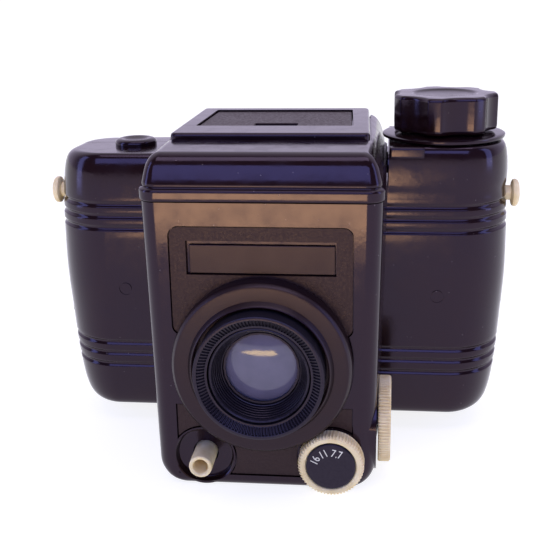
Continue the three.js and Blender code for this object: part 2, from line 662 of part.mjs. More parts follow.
function finderPanel() {
  const top = FINDER_TOP - PANEL_RECESS;
  return cut(plate(panelPlan(0), top - PANEL_THICKNESS, top, 3), catchPocket(0, 100));
}

function finderCatch() {
  const z0 = PLATE_BOTTOM + 0.5 + GAP;
  const half = CATCH_HALF - GAP;
  const y = PANEL_FRONT_Y;
  const slide = box(-half, half, y + GAP, y + 4.8, z0, z0 + 0.5);
  const rib = box(1 - half, half - 1, y + 1.8, y + 2.6, z0, z0 + 0.9);
  return joined(slide, rib);
}

function finderFrontLens() {
  const y = FINDER_FRONT_Y + FINDER_INSET + FINDER_WALL + GAP;
  return windowSpace(FRONT_WINDOW, y, y + 1.6, 1.2);
}

function finderEyepiece() {
  const y = FINDER_REAR_Y - FINDER_INSET - FINDER_WALL - GAP;
  return windowSpace(REAR_WINDOW, y - 1.6, y, 1.5);
}

function finderSpring(side) {
  return coil("z", side * 17.5, -3, WELL_BOTTOM + GAP, PLATE_BOTTOM - GAP, 1.8, 0.35, 4);
}

// ---------- Front face, lens and stops ----------

const NAMEPLATE = { half: 18.3, bottom: 58.6, top: 66.7 };

function namePlateSpace(grow, y0, y1) {
  const half = NAMEPLATE.half + grow;
  return box(-half, half, y0, y1, NAMEPLATE.bottom - grow, NAMEPLATE.top + grow);
}

function frontPanel() {
  return cut(
    panelSpace(0, ...PANEL_Y),
    bar("y", 0, LENS_Z, FRONT_Y - CUT, FRONT_Y + CUT, SPIGOT_RADIUS + GAP, 48),
    namePlateSpace(GAP, FRONT_Y - CUT, FRONT_Y + CUT),
  );
}

// The plate stands clear of its opening's left and top edges.
function nameplate() {
  const { half, bottom, top } = NAMEPLATE;
  return box(-half + 0.5, half, PANEL_Y[0] + 0.4, PANEL_Y[1], bottom, top - 0.8);
}

function lensSurround() {
  const bore = LENS_BARREL_RADIUS + GAP;
  const well = RING_RADIUS + RING_GROOVE;
  const back = PANEL_Y[0] - GAP;
  const front = SURROUND_FRONT_Y;
  return turned("y", 0, LENS_Z, [
    [bore, PANEL_Y[1]], [SPIGOT_RADIUS, PANEL_Y[1]], [SPIGOT_RADIUS, back], [SURROUND_RADIUS, back],
    [SURROUND_RADIUS, front + 0.6], [SURROUND_RADIUS - 0.6, front], [well + 1.3, front],
    [well + SURROUND_LIP_WIDTH, front - SURROUND_LIP], [well, front - SURROUND_LIP],
    [well, SURROUND_FLOOR_Y], [bore, SURROUND_FLOOR_Y],
  ], 36);
}

const RING_REAR_Y = SURROUND_FLOOR_Y - GAP;

function lensRing() {
  const [flat, width, depth] = RING_BEVEL;
  const bore = LENS_BARREL_RADIUS + GAP;
  const front = RING_FRONT_Y;
  return turned("y", 0, LENS_Z, [
    [bore, RING_REAR_Y], [RING_RADIUS, RING_REAR_Y], [RING_RADIUS, front + 0.3], [RING_RADIUS - 0.3, front],
    [RING_RADIUS - flat, front], [RING_RADIUS - width, front + depth], [bore, front + depth],
  ], 36);
}

const BARREL_REAR_Y = FRONT_Y + 3.8;
const BAFFLES = 5;

function lensBarrel() {
  const front = RING_FRONT_Y + RING_BEVEL[2] + 0.4;
  const pocketFront = LENS_SEAT_Y - 2.2;
  const pocket = LENS_RADIUS + GAP;
  const rise = (LENS_BARREL_RADIUS - 0.6 - pocket) / BAFFLES;
  const run = (pocketFront - front - 0.6) / BAFFLES;
  const steps = [];
  for (let i = 0; i < BAFFLES; i += 1) {
    const y = pocketFront - i * run;
    const radius = pocket + (i + 1) * rise;
    steps.push([radius, y], [radius, y - run]);
  }
  return turned("y", 0, LENS_Z, [
    [LENS_RADIUS - 1, BARREL_REAR_Y], [LENS_RADIUS - 1, LENS_SEAT_Y + GAP], [pocket, LENS_SEAT_Y + GAP],
    [pocket, pocketFront], ...steps, [LENS_BARREL_RADIUS - 0.2, front], [LENS_BARREL_RADIUS, front + 0.4],
    [LENS_BARREL_RADIUS, BARREL_REAR_Y],
  ], 28);
}

function lensGlass() {
  const back = LENS_SEAT_Y;
  return turned("y", 0, LENS_Z, [
    [0, back - 1.9], [2.5, back - 1.83], [5, back - 1.5], [7, back - 1],
    [LENS_RADIUS, back - 0.4], [LENS_RADIUS, back], [0, back],
  ], 24);
}

function lensRetainer() {
  const y = LENS_SEAT_Y - 1.1;
  const inner = LENS_RADIUS - 0.45;
  return turned("y", 0, LENS_Z, [
    [inner, y - 0.8], [LENS_RADIUS, y - 0.8], [LENS_RADIUS, y], [inner, y - 0.1],
  ], 24);
}

// The stop plate turns on a pivot between the dial and the lens, and a toothed hub couples it to the dial.
const GEAR_MODULE = 0.56;
const DIAL_TEETH = 21;
const STOP_TEETH = 27;
const MESH_DISTANCE = (GEAR_MODULE * (DIAL_TEETH + STOP_TEETH)) / 2 + 0.05;
const DIAL_TO_LENS = Math.hypot(DIAL_X, LENS_Z - DIAL_Z);
const MESH_AIM = Math.atan2(LENS_Z - DIAL_Z, -DIAL_X);
const STOP_AIM = MESH_AIM;
const STOP_PIVOT = [
  DIAL_X + MESH_DISTANCE * Math.cos(MESH_AIM), DIAL_Z + MESH_DISTANCE * Math.sin(MESH_AIM),
];
const STOP_ARM = DIAL_TO_LENS - MESH_DISTANCE;
const DIAL_STEP = 36;
const STOP_STEP = THREE.MathUtils.degToRad((DIAL_STEP * DIAL_TEETH) / STOP_TEETH);
const STOP_RADII = [1.9, 2.7, 3.9];
const STOP_Y = [FRONT_Y + 4.5, FRONT_Y + 5];
const TOOTH_HALF = 0.42;

function gearTooth(teeth) {
  const pitch = (GEAR_MODULE * teeth) / 2;
  return [
    [-0.23, pitch - TOOTH_HALF - 0.1], [-0.1, pitch + TOOTH_HALF - 0.1],
    [0.1, pitch + TOOTH_HALF - 0.1], [0.23, pitch - TOOTH_HALF - 0.1],
  ];
}

function stopPlate() {
  const [px, pz] = STOP_PIVOT;
  const hub = sheet(toothed(STOP_TEETH, gearTooth(STOP_TEETH), MESH_AIM + Math.PI), ...STOP_Y, px, pz);
  const reach = STOP_ARM + STOP_RADII[2] + 1.2;
  const spread = STOP_STEP + (STOP_RADII[2] + 1) / STOP_ARM;
  const from = STOP_AIM - spread;
  const sector = new THREE.Shape();
  sector.moveTo(0, 0);
  sector.lineTo(reach * Math.cos(from), reach * Math.sin(from));
  sector.absarc(0, 0, reach, from, STOP_AIM + spread, false);
  const holes = STOP_RADII.map((radius, i) => {
    const angle = STOP_AIM + (i - 1) * STOP_STEP;
    const x = px + STOP_ARM * Math.cos(angle);
    return bar("y", x, pz + STOP_ARM * Math.sin(angle), FRONT_Y, FRONT_Y + 8, radius, 16);
  });
  return cut(
    joined(hub, sheet(sector, ...STOP_Y, px, pz, 14)),
    ...holes,
    bar("y", px, pz, FRONT_Y, FRONT_Y + 8, PIVOT_RADIUS + SHAFT_FIT, 16),
  );
}

function dialShaft() {
  const [y0, y1] = STOP_Y;
  const turn = MESH_AIM + Math.PI / DIAL_TEETH;
  const gear = sheet(toothed(DIAL_TEETH, gearTooth(DIAL_TEETH), turn), y0 - 0.1, y1 + 0.1, DIAL_X, DIAL_Z);
  return joined(gear, bar("y", DIAL_X, DIAL_Z, DIAL_FRONT_Y + 1.3, y1 + 0.5, DIAL_SHAFT_RADIUS, 20));
}

function knurledDisc(radius, teeth, depth, y0, y1, x, z) {
  return sheet(toothed(teeth, [[0, radius], [0.5, radius - depth]]), y0, y1, x, z);
}

const DIAL_REAR_Y = FRONT_Y - SLIDE_GAP;

function dialRing() {
  return cut(
    knurledDisc(DIAL_RADIUS, 36, 0.3, DIAL_FRONT_Y, DIAL_REAR_Y, DIAL_X, DIAL_Z),
    bar("y", DIAL_X, DIAL_Z, DIAL_FRONT_Y - CUT, DIAL_FRONT_Y + 1, DIAL_FACE_RADIUS + GAP, 40),
    bar("y", DIAL_X, DIAL_Z, DIAL_FRONT_Y, FRONT_Y, DIAL_SHAFT_RADIUS + GAP / 2, 20),
  );
}

function dialFace() {
  return bar("y", DIAL_X, DIAL_Z, DIAL_FRONT_Y - 0.2, DIAL_FRONT_Y + 0.7, DIAL_FACE_RADIUS, 40);
}

// The single shutter blade swings clear of the lens as the release goes in.
const BLADE_PIVOT = [-15, 30];
const BLADE_HEAD = 6.8;
const BLADE_Y = [FRONT_Y + 6, FRONT_Y + 6.4];

function shutterBlade() {
  const [px, pz] = BLADE_PIVOT;
  const [y0, y1] = BLADE_Y;
  const head = bar("y", 0, LENS_Z, y0, y1, BLADE_HEAD, 28);
  const hub = bar("y", px, pz, y0, y1, 3, 20);
  const arm = sheet(outline([[px, pz - 2.6], [0, LENS_Z - 4], [0, LENS_Z + 4], [px, pz + 2.6]]), y0, y1);
  const tail = sheet(outline([[px - 1.4, pz], [px - 1.1, 15], [px + 1.1, 15], [px + 1.4, pz]]), y0, y1);
  const bore = bar("y", px, pz, FRONT_Y, FRONT_Y + 9, PIVOT_RADIUS + SHAFT_FIT, 16);
  return cut(joined(head, hub, arm, tail), bore);
}

const SHUTTER_PLATE_HALF = 22.6;

function shutterPlate() {
  const [y0, y1] = [PLATE_Y, PLATE_Y + PLATE_THICKNESS];
  const pins = [
    bar("y", ...STOP_PIVOT, STOP_Y[0] - 0.4, y0 + 0.5, PIVOT_RADIUS, 16),
    bar("y", ...BLADE_PIVOT, BLADE_Y[0] - 0.4, y0 + 0.5, PIVOT_RADIUS, 16),
  ];
  const holes = BOSS_PLACES.map(([x, z]) => bar("y", x, z, y0 - CUT, y1 + CUT, SCREW_RADIUS + GAP, 12));
  return cut(
    joined(box(-SHUTTER_PLATE_HALF, SHUTTER_PLATE_HALF, y0, y1, 15, 62), ...pins),
    bar("y", 0, LENS_Z, y0 - CUT, y1 + CUT, SHUTTER_HOLE_RADIUS, 32),
    ...holes,
  );
}

function plateScrew([x, z]) {
  const head = PLATE_Y + PLATE_THICKNESS + GAP;
  const screw = joined(
    bar("y", x, z, PLATE_Y - 4, head + 0.2, SCREW_RADIUS, 12),
    bar("y", x, z, head, head + 1.2, 2, 16),
  );
  return cut(screw, box(x - 3, x + 3, head + 0.7, head + 2, z - 0.3, z + 0.3));
}

// ---------- Dark chamber and film path ----------

const CONE_FRONT_Y = PLATE_Y + PLATE_THICKNESS + GAP;
const GATE_FRONT_Y = FILM_Y - 2;
const GATE_BACK_Y = FILM_Y - GAP;

function lightCone() {
  const half = PICTURE / 2;
  const wall = 1.8;
  const outer = frustum(
    [CONE_FRONT_Y + 0.6, 12, LENS_Z - 12, LENS_Z + 12],
    [GATE_FRONT_Y + 0.5, half + wall, FILM_Z - half - wall, FILM_Z + half + wall],
  );
  const inner = frustum(
    [CONE_FRONT_Y - 0.2, 10.4, LENS_Z - 10.4, LENS_Z + 10.4],
    [GATE_BACK_Y + 0.2, half, FILM_Z - half, FILM_Z + half],
  );
  const flange = box(-16, 16, CONE_FRONT_Y, CONE_FRONT_Y + 1.2, LENS_Z - 14, LENS_Z + 14);
  const frame = box(-31.4, 31.4, GATE_FRONT_Y, GATE_BACK_Y, FILM_Z - 31.4, FILM_Z + 31.4);
  return cut(joined(outer, flange, frame), inner);
}

function pressurePlate() {
  const sheetPlate = box(-29, 29, FILM_Y + GAP, FILM_Y + GAP + 0.8, FILM_Z - 31, FILM_Z + 31);
  return cut(sheetPlate, bar("y", 0, FILM_Z, FILM_Y - CUT, FILM_Y + CUT, RED_WINDOW_RADIUS - 1, 28));
}

function pressureSpring(side) {
  const y = FILM_Y + 2 * GAP + 0.8;
  const shape = new THREE.Shape();
  const end = 24;
  const rise = BACK_Y - WALL - GAP - y;
  shape.moveTo(-end, 0);
  shape.quadraticCurveTo(0, 2 * rise - 0.6, end, 0);
  shape.lineTo(end, 0.3);
  shape.quadraticCurveTo(0, 2 * rise, -end, 0.3);
  const geometry = new THREE.ExtrudeGeometry(shape, { depth: 5, bevelEnabled: false, curveSegments: 12 });
  return solid(moved(geometry, 0, y, FILM_Z + side * 21 - 2.5));
}

function redWindow() {
  const y1 = BACK_Y - 1.2 - GAP;
  return bar("y", 0, FILM_Z, BACK_Y - WALL + GAP, y1, WINDOW_SEAT_RADIUS, 32);
}

function windowShutter() {
  const half = SHUTTER_TRACK_HALF - GAP;
  const y0 = BACK_Y + GAP;
  const slide = box(-8, 8, y0, y0 + 0.8, FILM_Z - half, FILM_Z + half);
  return joined(slide, box(4.4, 6.4, y0, y0 + 1.8, FILM_Z - 4, FILM_Z + 4));
}

// ---------- Winding, spool and pins ----------

function takeUpSpool() {
  const z1 = SPOOL_END;
  return cut(
    joined(
      bar("z", SPOOL_X, SPOOL_Y, SPOOL_BASE, z1, SPOOL_CORE_RADIUS, 16),
      bar("z", SPOOL_X, SPOOL_Y, SPOOL_BASE, SPOOL_BASE + SPOOL_FLANGE, SPOOL_FLANGE_RADIUS, 28),
      bar("z", SPOOL_X, SPOOL_Y, z1 - SPOOL_FLANGE, z1, SPOOL_FLANGE_RADIUS, 28),
    ),
    bar("z", SPOOL_X, SPOOL_Y, SPOOL_BASE - CUT, z1 + CUT, SPOOL_BORE_RADIUS, 20),
    box(SPOOL_X - 5, SPOOL_X + 5, SPOOL_Y - 0.8, SPOOL_Y + 0.8, z1 - 3, z1 + CUT),
  );
}

const KNOB_FLUTES = 7;
const FLUTE_RADIUS = 10;
const FLUTE_DEPTH = 1.9;

function windingKnob() {
  const z0 = SKIRT_TOP + GAP;
  const body = turned("z", KNOB_X, SPOOL_Y, [
    [0, z0], [KNOB_RADIUS - 2, z0], [KNOB_RADIUS, z0 + 1.5], [KNOB_RADIUS, KNOB_TOP - 1],
    [KNOB_RADIUS - 0.9, KNOB_TOP - 0.2], [KNOB_RADIUS - 6, KNOB_TOP], [KNOB_RADIUS - 6.6, KNOB_TOP - 1],
    [0, KNOB_TOP - 0.8],
  ], 32);
  const flutes = [];
  for (let i = 0; i < KNOB_FLUTES; i += 1) {
    const angle = ((i + 0.5) / KNOB_FLUTES) * 2 * Math.PI;
    const reach = KNOB_RADIUS + FLUTE_RADIUS - FLUTE_DEPTH;
    const [x, y] = [KNOB_X + reach * Math.cos(angle), SPOOL_Y + reach * Math.sin(angle)];
    flutes.push(bar("z", x, y, z0 - CUT, KNOB_TOP + CUT, FLUTE_RADIUS, 40));
  }
  const bore = bar("z", KNOB_X, SPOOL_Y, z0 - CUT, KNOB_TOP - 4, SHAFT_RADIUS + GAP / 2, 20);
  return cut(body, ...flutes, bore);
}

function knobSkirt() {
  return turned("z", KNOB_X, SPOOL_Y, [
    [SHAFT_RADIUS + GAP / 2, SKIRT_BOTTOM], [SKIRT_RADIUS - 0.6, SKIRT_BOTTOM],
    [SKIRT_RADIUS, SKIRT_BOTTOM + 0.5], [SKIRT_RADIUS, SKIRT_TOP - 0.5],
    [SKIRT_RADIUS - 0.5, SKIRT_TOP], [SHAFT_RADIUS + GAP / 2, SKIRT_TOP],
  ], 40);
}

function windingShaft() {
  const keyBottom = SPOOL_END - 2.6;
  return joined(
    bar("z", KNOB_X, SPOOL_Y, SPOOL_END + GAP, KNOB_TOP - 4.2, SHAFT_RADIUS, 24),
    bar("z", KNOB_X, SPOOL_Y, SPOOL_END + GAP, SPOOL_END + 2, SHAFT_RADIUS + 1.8, 24),
    bar("z", KNOB_X, SPOOL_Y, keyBottom, SPOOL_END + 1, SPOOL_BORE_RADIUS - SLIDE_GAP, 20),
    box(KNOB_X - 4.6, KNOB_X + 4.6, SPOOL_Y - 0.45, SPOOL_Y + 0.45, keyBottom, SPOOL_END + 0.8),
  );
}

const RATCHET_Z = DRUM_TOP - WALL - 1.5 - SLIDE_GAP;
const RATCHET_RADIUS = 7.5;

function ratchetWheel() {
  const geometry = new THREE.ExtrudeGeometry(
    toothed(20, [[0, RATCHET_RADIUS], [0.85, RATCHET_RADIUS - 1], [0.99, RATCHET_RADIUS - 1]]),
    { depth: 1.6, bevelEnabled: false },
  );
  const bore = bar("z", KNOB_X, SPOOL_Y, RATCHET_Z - CUT, RATCHET_Z + CUT, SHAFT_RADIUS + GAP / 2, 20);
  return cut(solid(moved(geometry, KNOB_X, SPOOL_Y, RATCHET_Z - 1.6)), bore);
}

// A leaf click spring whose tip lies beside the ratchet's teeth.
function clickSpring() {
  const z = RATCHET_Z - 1.5;
  const y = SPOOL_Y - RATCHET_RADIUS - GAP;
  return joined(
    box(KNOB_X - 13, KNOB_X + 0.5, y - 0.4, y, z, z + 1.4),
    box(KNOB_X - 13, KNOB_X - 11, y - 0.4, y + 2, z, DRUM_TOP - WALL - GAP),
  );
}

function spoolPin(x, z0, z1, flangeZ) {
  return joined(
    bar("z", x, SPOOL_Y, z0, z1, SPOOL_PIN_RADIUS, 20),
    bar("z", x, SPOOL_Y, flangeZ, flangeZ + 0.4, SPOOL_PIN_RADIUS + 0.6, 20),
  );
}

function lowerPin(x) {
  return spoolPin(x, DRUM_BOTTOM + 0.2, SPOOL_BASE + 6, DRUM_BOTTOM + DRUM_FLOOR + 0.1);
}

function upperPin(x) {
  const top = DRUM_TOP - WALL - GAP;
  return spoolPin(x, SPOOL_END - 6, top, top - 0.5);
}

// ---------- Release, speed wheel, lugs and tripod bush ----------

function releaseButton() {
  const back = FRONT_Y + 5.6;
  const stem = joined(
    bar("y", RELEASE_X, RELEASE_Z, RELEASE_FRONT_Y, back, RELEASE_RADIUS, 28),
    bar("y", RELEASE_X, RELEASE_Z, back - 0.5, FRONT_Y + 8.2, 1.4, 16),
  );
  const front = RELEASE_FRONT_Y;
  return cut(stem, bar("y", RELEASE_X, RELEASE_Z, front - CUT, front + 8, RELEASE_BORE_RADIUS, 24));
}

function releaseSpring() {
  return coil("y", RELEASE_X, RELEASE_Z, FRONT_Y + 6, FRONT_Y + 12, 2.3, 0.3, 5);
}

// A bracket behind the release that carries the spring's far end.
function springBracket() {
  const y = FRONT_Y + 12.3;
  const arm = box(RELEASE_X - 4.5, RELEASE_X + 4.5, y, y + 1, WALL + GAP, RELEASE_Z + 8);
  return cut(arm, bar("y", RELEASE_X, RELEASE_Z, y - CUT, y + CUT, 1.9, 16));
}

// A flat outline around the X axis, as a disc from x0 to x1 about (y, z).
function discX(shape, x0, x1, y, z) {
  const geometry = new THREE.ExtrudeGeometry(shape, { depth: x1 - x0, bevelEnabled: false });
  return solid(moved(geometry.rotateY(Math.PI / 2), x0, y, z));
}

function speedWheel() {
  const grip = toothed(44, [[0, SPEED_RADIUS], [0.5, SPEED_RADIUS - 0.35]]);
  return cut(
    discX(grip, SPEED_INNER_X, SPEED_OUTER_X, SPEED_Y, SPEED_Z),
    bar("x", SPEED_Y, SPEED_Z, SPEED_OUTER_X - 0.5, SPEED_OUTER_X + CUT, SPEED_RADIUS - 2.4, 40),
    bar("x", SPEED_Y, SPEED_Z, SPEED_INNER_X - CUT, SPEED_OUTER_X - 1, SPEED_SHAFT_RADIUS + GAP / 2, 20),
  );
}

function speedShaft() {
  const lobes = toothed(4, [[0, 3.6], [0.5, 2.8]]);
  const camX = SPEED_BEARING_X - 1.5;
  return joined(
    bar("x", SPEED_Y, SPEED_Z, SPEED_BEARING_X - 1.2, SPEED_OUTER_X - 1.2, SPEED_SHAFT_RADIUS, 20),
    discX(lobes, camX, camX + 1.1, SPEED_Y, SPEED_Z),
  );
}

function strapLug(side) {
  const wall = DRUM_HALF - 0.4;
  const inside = DRUM_HALF - 5.3;
  const profile = [
    [0, inside], [LUG_STEM + 1, inside], [LUG_STEM + 1, inside + 1], [LUG_STEM, inside + 1],
    [LUG_STEM, wall + 1.2], [LUG_RADIUS - 0.6, wall + 1.4], [LUG_RADIUS, wall + 2],
    [LUG_RADIUS, wall + 2.6], [LUG_RADIUS - 1, wall + 3.4], [0, wall + 3.6],
  ];
  return turned("x", 0, LUG_Z, profile.map(([r, x]) => [r, side * x]), 24);
}

function tripodBush() {
  return turned("z", 0, TRIPOD_Y, [
    [TRIPOD_BORE, 0.2], [TRIPOD_RADIUS, 0.2], [TRIPOD_RADIUS, WALL + GAP],
    [TRIPOD_RADIUS + 1.6, WALL + GAP],
    [TRIPOD_RADIUS + 1.6, WALL + 1.4], [TRIPOD_BORE, WALL + 1.4],
  ], 32);
}

// ---------- The assembly ----------

const PIECES = {
  front_body: [frontBody(), PHENOLIC],
  rear_cover: [rearCover(), PHENOLIC],
  cover_hinge_pin: [hingePin(), STEEL],
  cover_latch: [coverLatch(), BLACK_METAL],
  pressure_plate: [pressurePlate(), STEEL],
  pressure_spring_upper: [pressureSpring(1), STEEL],
  pressure_spring_lower: [pressureSpring(-1), STEEL],
  red_window: [redWindow(), RED_GLASS],
  window_shutter: [windowShutter(), BLACK_METAL],
  top_hood: [topHood(), PHENOLIC],
  finder_housing: [finderHousing(), PHENOLIC],
  finder_panel: [finderPanel(), GRAINED],
  finder_catch: [finderCatch(), BLACK_METAL],
  finder_front_lens: [finderFrontLens(), GLASS],
  finder_eyepiece: [finderEyepiece(), GLASS],
  finder_spring_left: [finderSpring(-1), STEEL],
  finder_spring_right: [finderSpring(1), STEEL],
  front_panel: [frontPanel(), GRAINED],
  nameplate: [nameplate(), BLACK_METAL],
  lens_surround: [lensSurround(), PHENOLIC],
  lens_ring: [lensRing(), BLACK_METAL],
  lens_barrel: [lensBarrel(), BLACK_METAL],
  lens_glass: [lensGlass(), GLASS],
  lens_retainer: [lensRetainer(), BLACK_METAL],
  stop_plate: [stopPlate(), BLACK_METAL],
  dial_ring: [dialRing(), IVORY],
  dial_face: [dialFace(), BLACK_METAL],
  dial_shaft: [dialShaft(), BRASS],
  shutter_blade: [shutterBlade(), BLACK_METAL],
  shutter_plate: [shutterPlate(), STEEL],
  light_cone: [lightCone(), BLACK_METAL],
  take_up_spool: [takeUpSpool(), BLACK_METAL],
  winding_knob: [windingKnob(), PHENOLIC],
  knob_skirt: [knobSkirt(), PHENOLIC],
  winding_shaft: [windingShaft(), STEEL],
  ratchet_wheel: [ratchetWheel(), BRASS],
  click_spring: [clickSpring(), STEEL],
  spool_pin_right: [lowerPin(SPOOL_X), STEEL],
  spool_pin_left_lower: [lowerPin(-SPOOL_X), STEEL],
  spool_pin_left_upper: [upperPin(-SPOOL_X), STEEL],
  release_button: [releaseButton(), IVORY],
  release_spring: [releaseSpring(), STEEL],
  spring_bracket: [springBracket(), BRASS],
  speed_wheel: [speedWheel(), IVORY],
  speed_shaft: [speedShaft(), BRASS],
  strap_lug_left: [strapLug(-1), IVORY],
  strap_lug_right: [strapLug(1), IVORY],
  tripod_bush: [tripodBush(), BRASS],
};

BOSS_PLACES.forEach((place, i) => {
  PIECES[`plate_screw_${i + 1}`] = [plateScrew(place), STEEL];
});

// A solid as a mesh of its own.
function drawn(name, [piece, look]) {
  const { numProp, vertProperties, triVerts } = piece.getMesh();
  if (numProp !== 3) throw new Error(`${name} carries more than positions`);
  const geometry = new THREE.BufferGeometry();
  geometry.setAttribute("position", new THREE.BufferAttribute(vertProperties, 3));
  geometry.setIndex(new THREE.BufferAttribute(triVerts, 1));
  geometry.computeVertexNormals();
  const mesh = new THREE.Mesh(geometry, new THREE.MeshStandardMaterial(look));
  mesh.name = name;
  return mesh;
}

const camera = new THREE.Group();
Object.entries(PIECES).forEach(([name, piece]) => camera.add(drawn(name, piece)));

export default camera;
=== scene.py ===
"""Looks of a moulded roll-film box camera, built round its packed frame.

Shapes are written in millimetres and turned to metres as each piece is made. The frame's axes hold
throughout: X to the right as seen from the front, Y towards the back, Z up.
"""

import math

import bmesh
import bpy
from mathutils import Matrix, Vector


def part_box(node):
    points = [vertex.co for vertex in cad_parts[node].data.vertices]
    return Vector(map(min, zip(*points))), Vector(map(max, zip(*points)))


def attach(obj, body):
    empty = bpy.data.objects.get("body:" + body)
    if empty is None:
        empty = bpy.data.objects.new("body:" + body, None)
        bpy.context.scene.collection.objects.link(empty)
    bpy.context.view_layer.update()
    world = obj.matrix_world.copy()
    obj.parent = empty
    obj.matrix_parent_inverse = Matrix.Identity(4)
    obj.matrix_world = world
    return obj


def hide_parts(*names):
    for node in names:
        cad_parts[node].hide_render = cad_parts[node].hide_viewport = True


bl_info = {
    "name": "Box Camera Looks",
    "version": (1, 0, 0),
    "blender": (4, 5, 0),
    "location": "View3D > Sidebar > Box Camera",
    "description": "Models and finishes the visible pieces of a moulded box camera round its frame",
    "category": "Object",
}

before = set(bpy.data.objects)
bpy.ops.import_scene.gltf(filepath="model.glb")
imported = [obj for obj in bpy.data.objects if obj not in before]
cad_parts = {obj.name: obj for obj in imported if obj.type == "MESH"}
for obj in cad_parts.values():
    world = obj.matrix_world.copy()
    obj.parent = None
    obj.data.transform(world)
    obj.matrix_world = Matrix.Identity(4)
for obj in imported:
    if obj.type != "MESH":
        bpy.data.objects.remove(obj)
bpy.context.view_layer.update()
MM = 0.001


# ---------- Places taken from the frame ----------


def span(node):
    """Lowest and highest corner of a frame node, in millimetres."""
    low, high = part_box(node)
    return low / MM, high / MM


def middle(node):
    """Middle of a frame node's box, in millimetres."""
    low, high = span(node)
    return (low + high) / 2


LENS = middle("lens_ring")
RING_FRONT = span("lens_ring")[0].y
DIAL = middle("dial_ring")
RELEASE = middle("release_button")
WHEEL = middle("speed_wheel")
KNOB = middle("winding_knob")
FRONT = -50.0
PARTING = 8.0
FILM_Z = middle("red_window").z


# ---------- Sizes and colours that can be changed ----------


def linear(code):
    """Turns an sRGB hex colour to linear values."""
    parts = [int(code[i : i + 2], 16) / 255 for i in (1, 3, 5)]
    return tuple(p / 12.92 if p <= 0.04045 else ((p + 0.055) / 1.055) ** 2.4 for p in parts)


def length(name, description, default):
    """A length that the sidebar shows in the scene's units."""
    return bpy.props.FloatProperty(
        name=name, description=description, default=default, min=0.0, subtype="DISTANCE", unit="LENGTH"
    )


def power(name, description, default):
    """A lamp's power that the sidebar shows in watts."""
    return bpy.props.FloatProperty(
        name=name, description=description, default=default, min=0.0, unit="POWER"
    )


def colour(name, description, code):
    """A colour that the sidebar shows as a swatch."""
    return bpy.props.FloatVectorProperty(
        name=name, description=description, default=linear(code), size=3, min=0.0, max=1.0, subtype="COLOR"
    )


class BoxCameraSizes(bpy.types.PropertyGroup):
    groove_depth: length("Groove Depth", "Depth of the grooves round the ends of the film drums", 0.00075)
    wall: length("Wall", "Thickness of the moulded walls", 0.0024)
    edge: length("Edge Rounding", "Rounding of the small pieces' edges", 0.00018)
    numeral: length("Numeral Height", "Font size of the aperture numbers on the dial", 0.003)
    teeth: bpy.props.IntProperty(
        name="Wheel Teeth", description="Fine teeth round the speed wheel", default=84, min=12, max=160
    )


class BoxCameraColours(bpy.types.PropertyGroup):
    phenolic: colour("Phenolic", "Body colour of the polished mouldings", "#130a11")
    phenolic_warm: colour("Phenolic, Warm", "Browner streaks in the polished mouldings", "#1e0f0c")
    grained: colour("Grained Panel", "Colour of the matt grained panels", "#221213")
    ivory: colour("Ivory", "Colour of the pale plastic controls", "#f4e2b6")
    enamel: colour("Enamel", "Colour of the black metal parts", "#0b0914")
    numerals: colour("Numerals", "Colour of the filled numbers", "#efeadb")
    floor: colour("Floor", "Colour of the floor", "#98989b")


class BoxCameraLights(bpy.types.PropertyGroup):
    sky: colour("Sky", "Tint of the soft light high in front", "#9fb2ff")
    card: colour("Warm Card", "Tint of the light that lies low in front", "#ffd888")
    sky_power: power("Sky Power", "Power of the light high in front, in watts", 7.5)
    card_power: power("Card Power", "Power of the light low in front, in watts", 1.5)


def operator(name, label):
    """Makes an operator of a function that runs one step; its docstring is the operator's tip."""

    def made(work):
        def execute(self, context):
            work(context)
            return {"FINISHED"}

        content = {"__doc__": work.__doc__, "bl_idname": f"box_camera.{name}", "bl_label": label}
        content["execute"] = execute
        return type(f"BOXCAMERA_OT_{name}", (bpy.types.Operator,), content)

    return made


# ---------- Shapes ----------


def cleaned(bm):
    """Merges doubles and turns the faces outwards."""
    bmesh.ops.remove_doubles(bm, verts=bm.verts, dist=1e-4)
    bmesh.ops.recalc_face_normals(bm, faces=bm.faces)
    return bm


def block(x0, x1, y0, y1, z0, z1):
    """A plain block between two corners."""
    bm = bmesh.new()
    bmesh.ops.create_cube(bm, size=1.0)
    bmesh.ops.scale(bm, vec=(x1 - x0, y1 - y0, z1 - z0), verts=bm.verts)
    bmesh.ops.translate(bm, vec=((x0 + x1) / 2, (y0 + y1) / 2, (z0 + z1) / 2), verts=bm.verts)
    return bm


def bevel(bm, edges, radius, segments, clamp=True):
    """Rounds the edges of a shape."""
    bmesh.ops.bevel(
        bm, geom=edges, offset=radius, offset_type="OFFSET", segments=segments, profile=0.5,
        affect="EDGES", clamp_overlap=clamp, material=-1,
    )


def rounded_block(half, y0, y1, corners, z0, z1, sides=10):
    """A block whose upright edges are rounded, with one radius in front and one behind."""
    bm = block(-half, half, y0, y1, z0, z1)
    centre = (y0 + y1) / 2
    for radius, in_front in zip(corners, (True, False)):
        upright = []
        for edge in bm.edges:
            a, b = (vert.co for vert in edge.verts)
            if (a.xy - b.xy).length < 1e-5 and (a.y < centre) == in_front:
                upright.append(edge)
        bevel(bm, upright, radius, sides, clamp=False)
    return bm


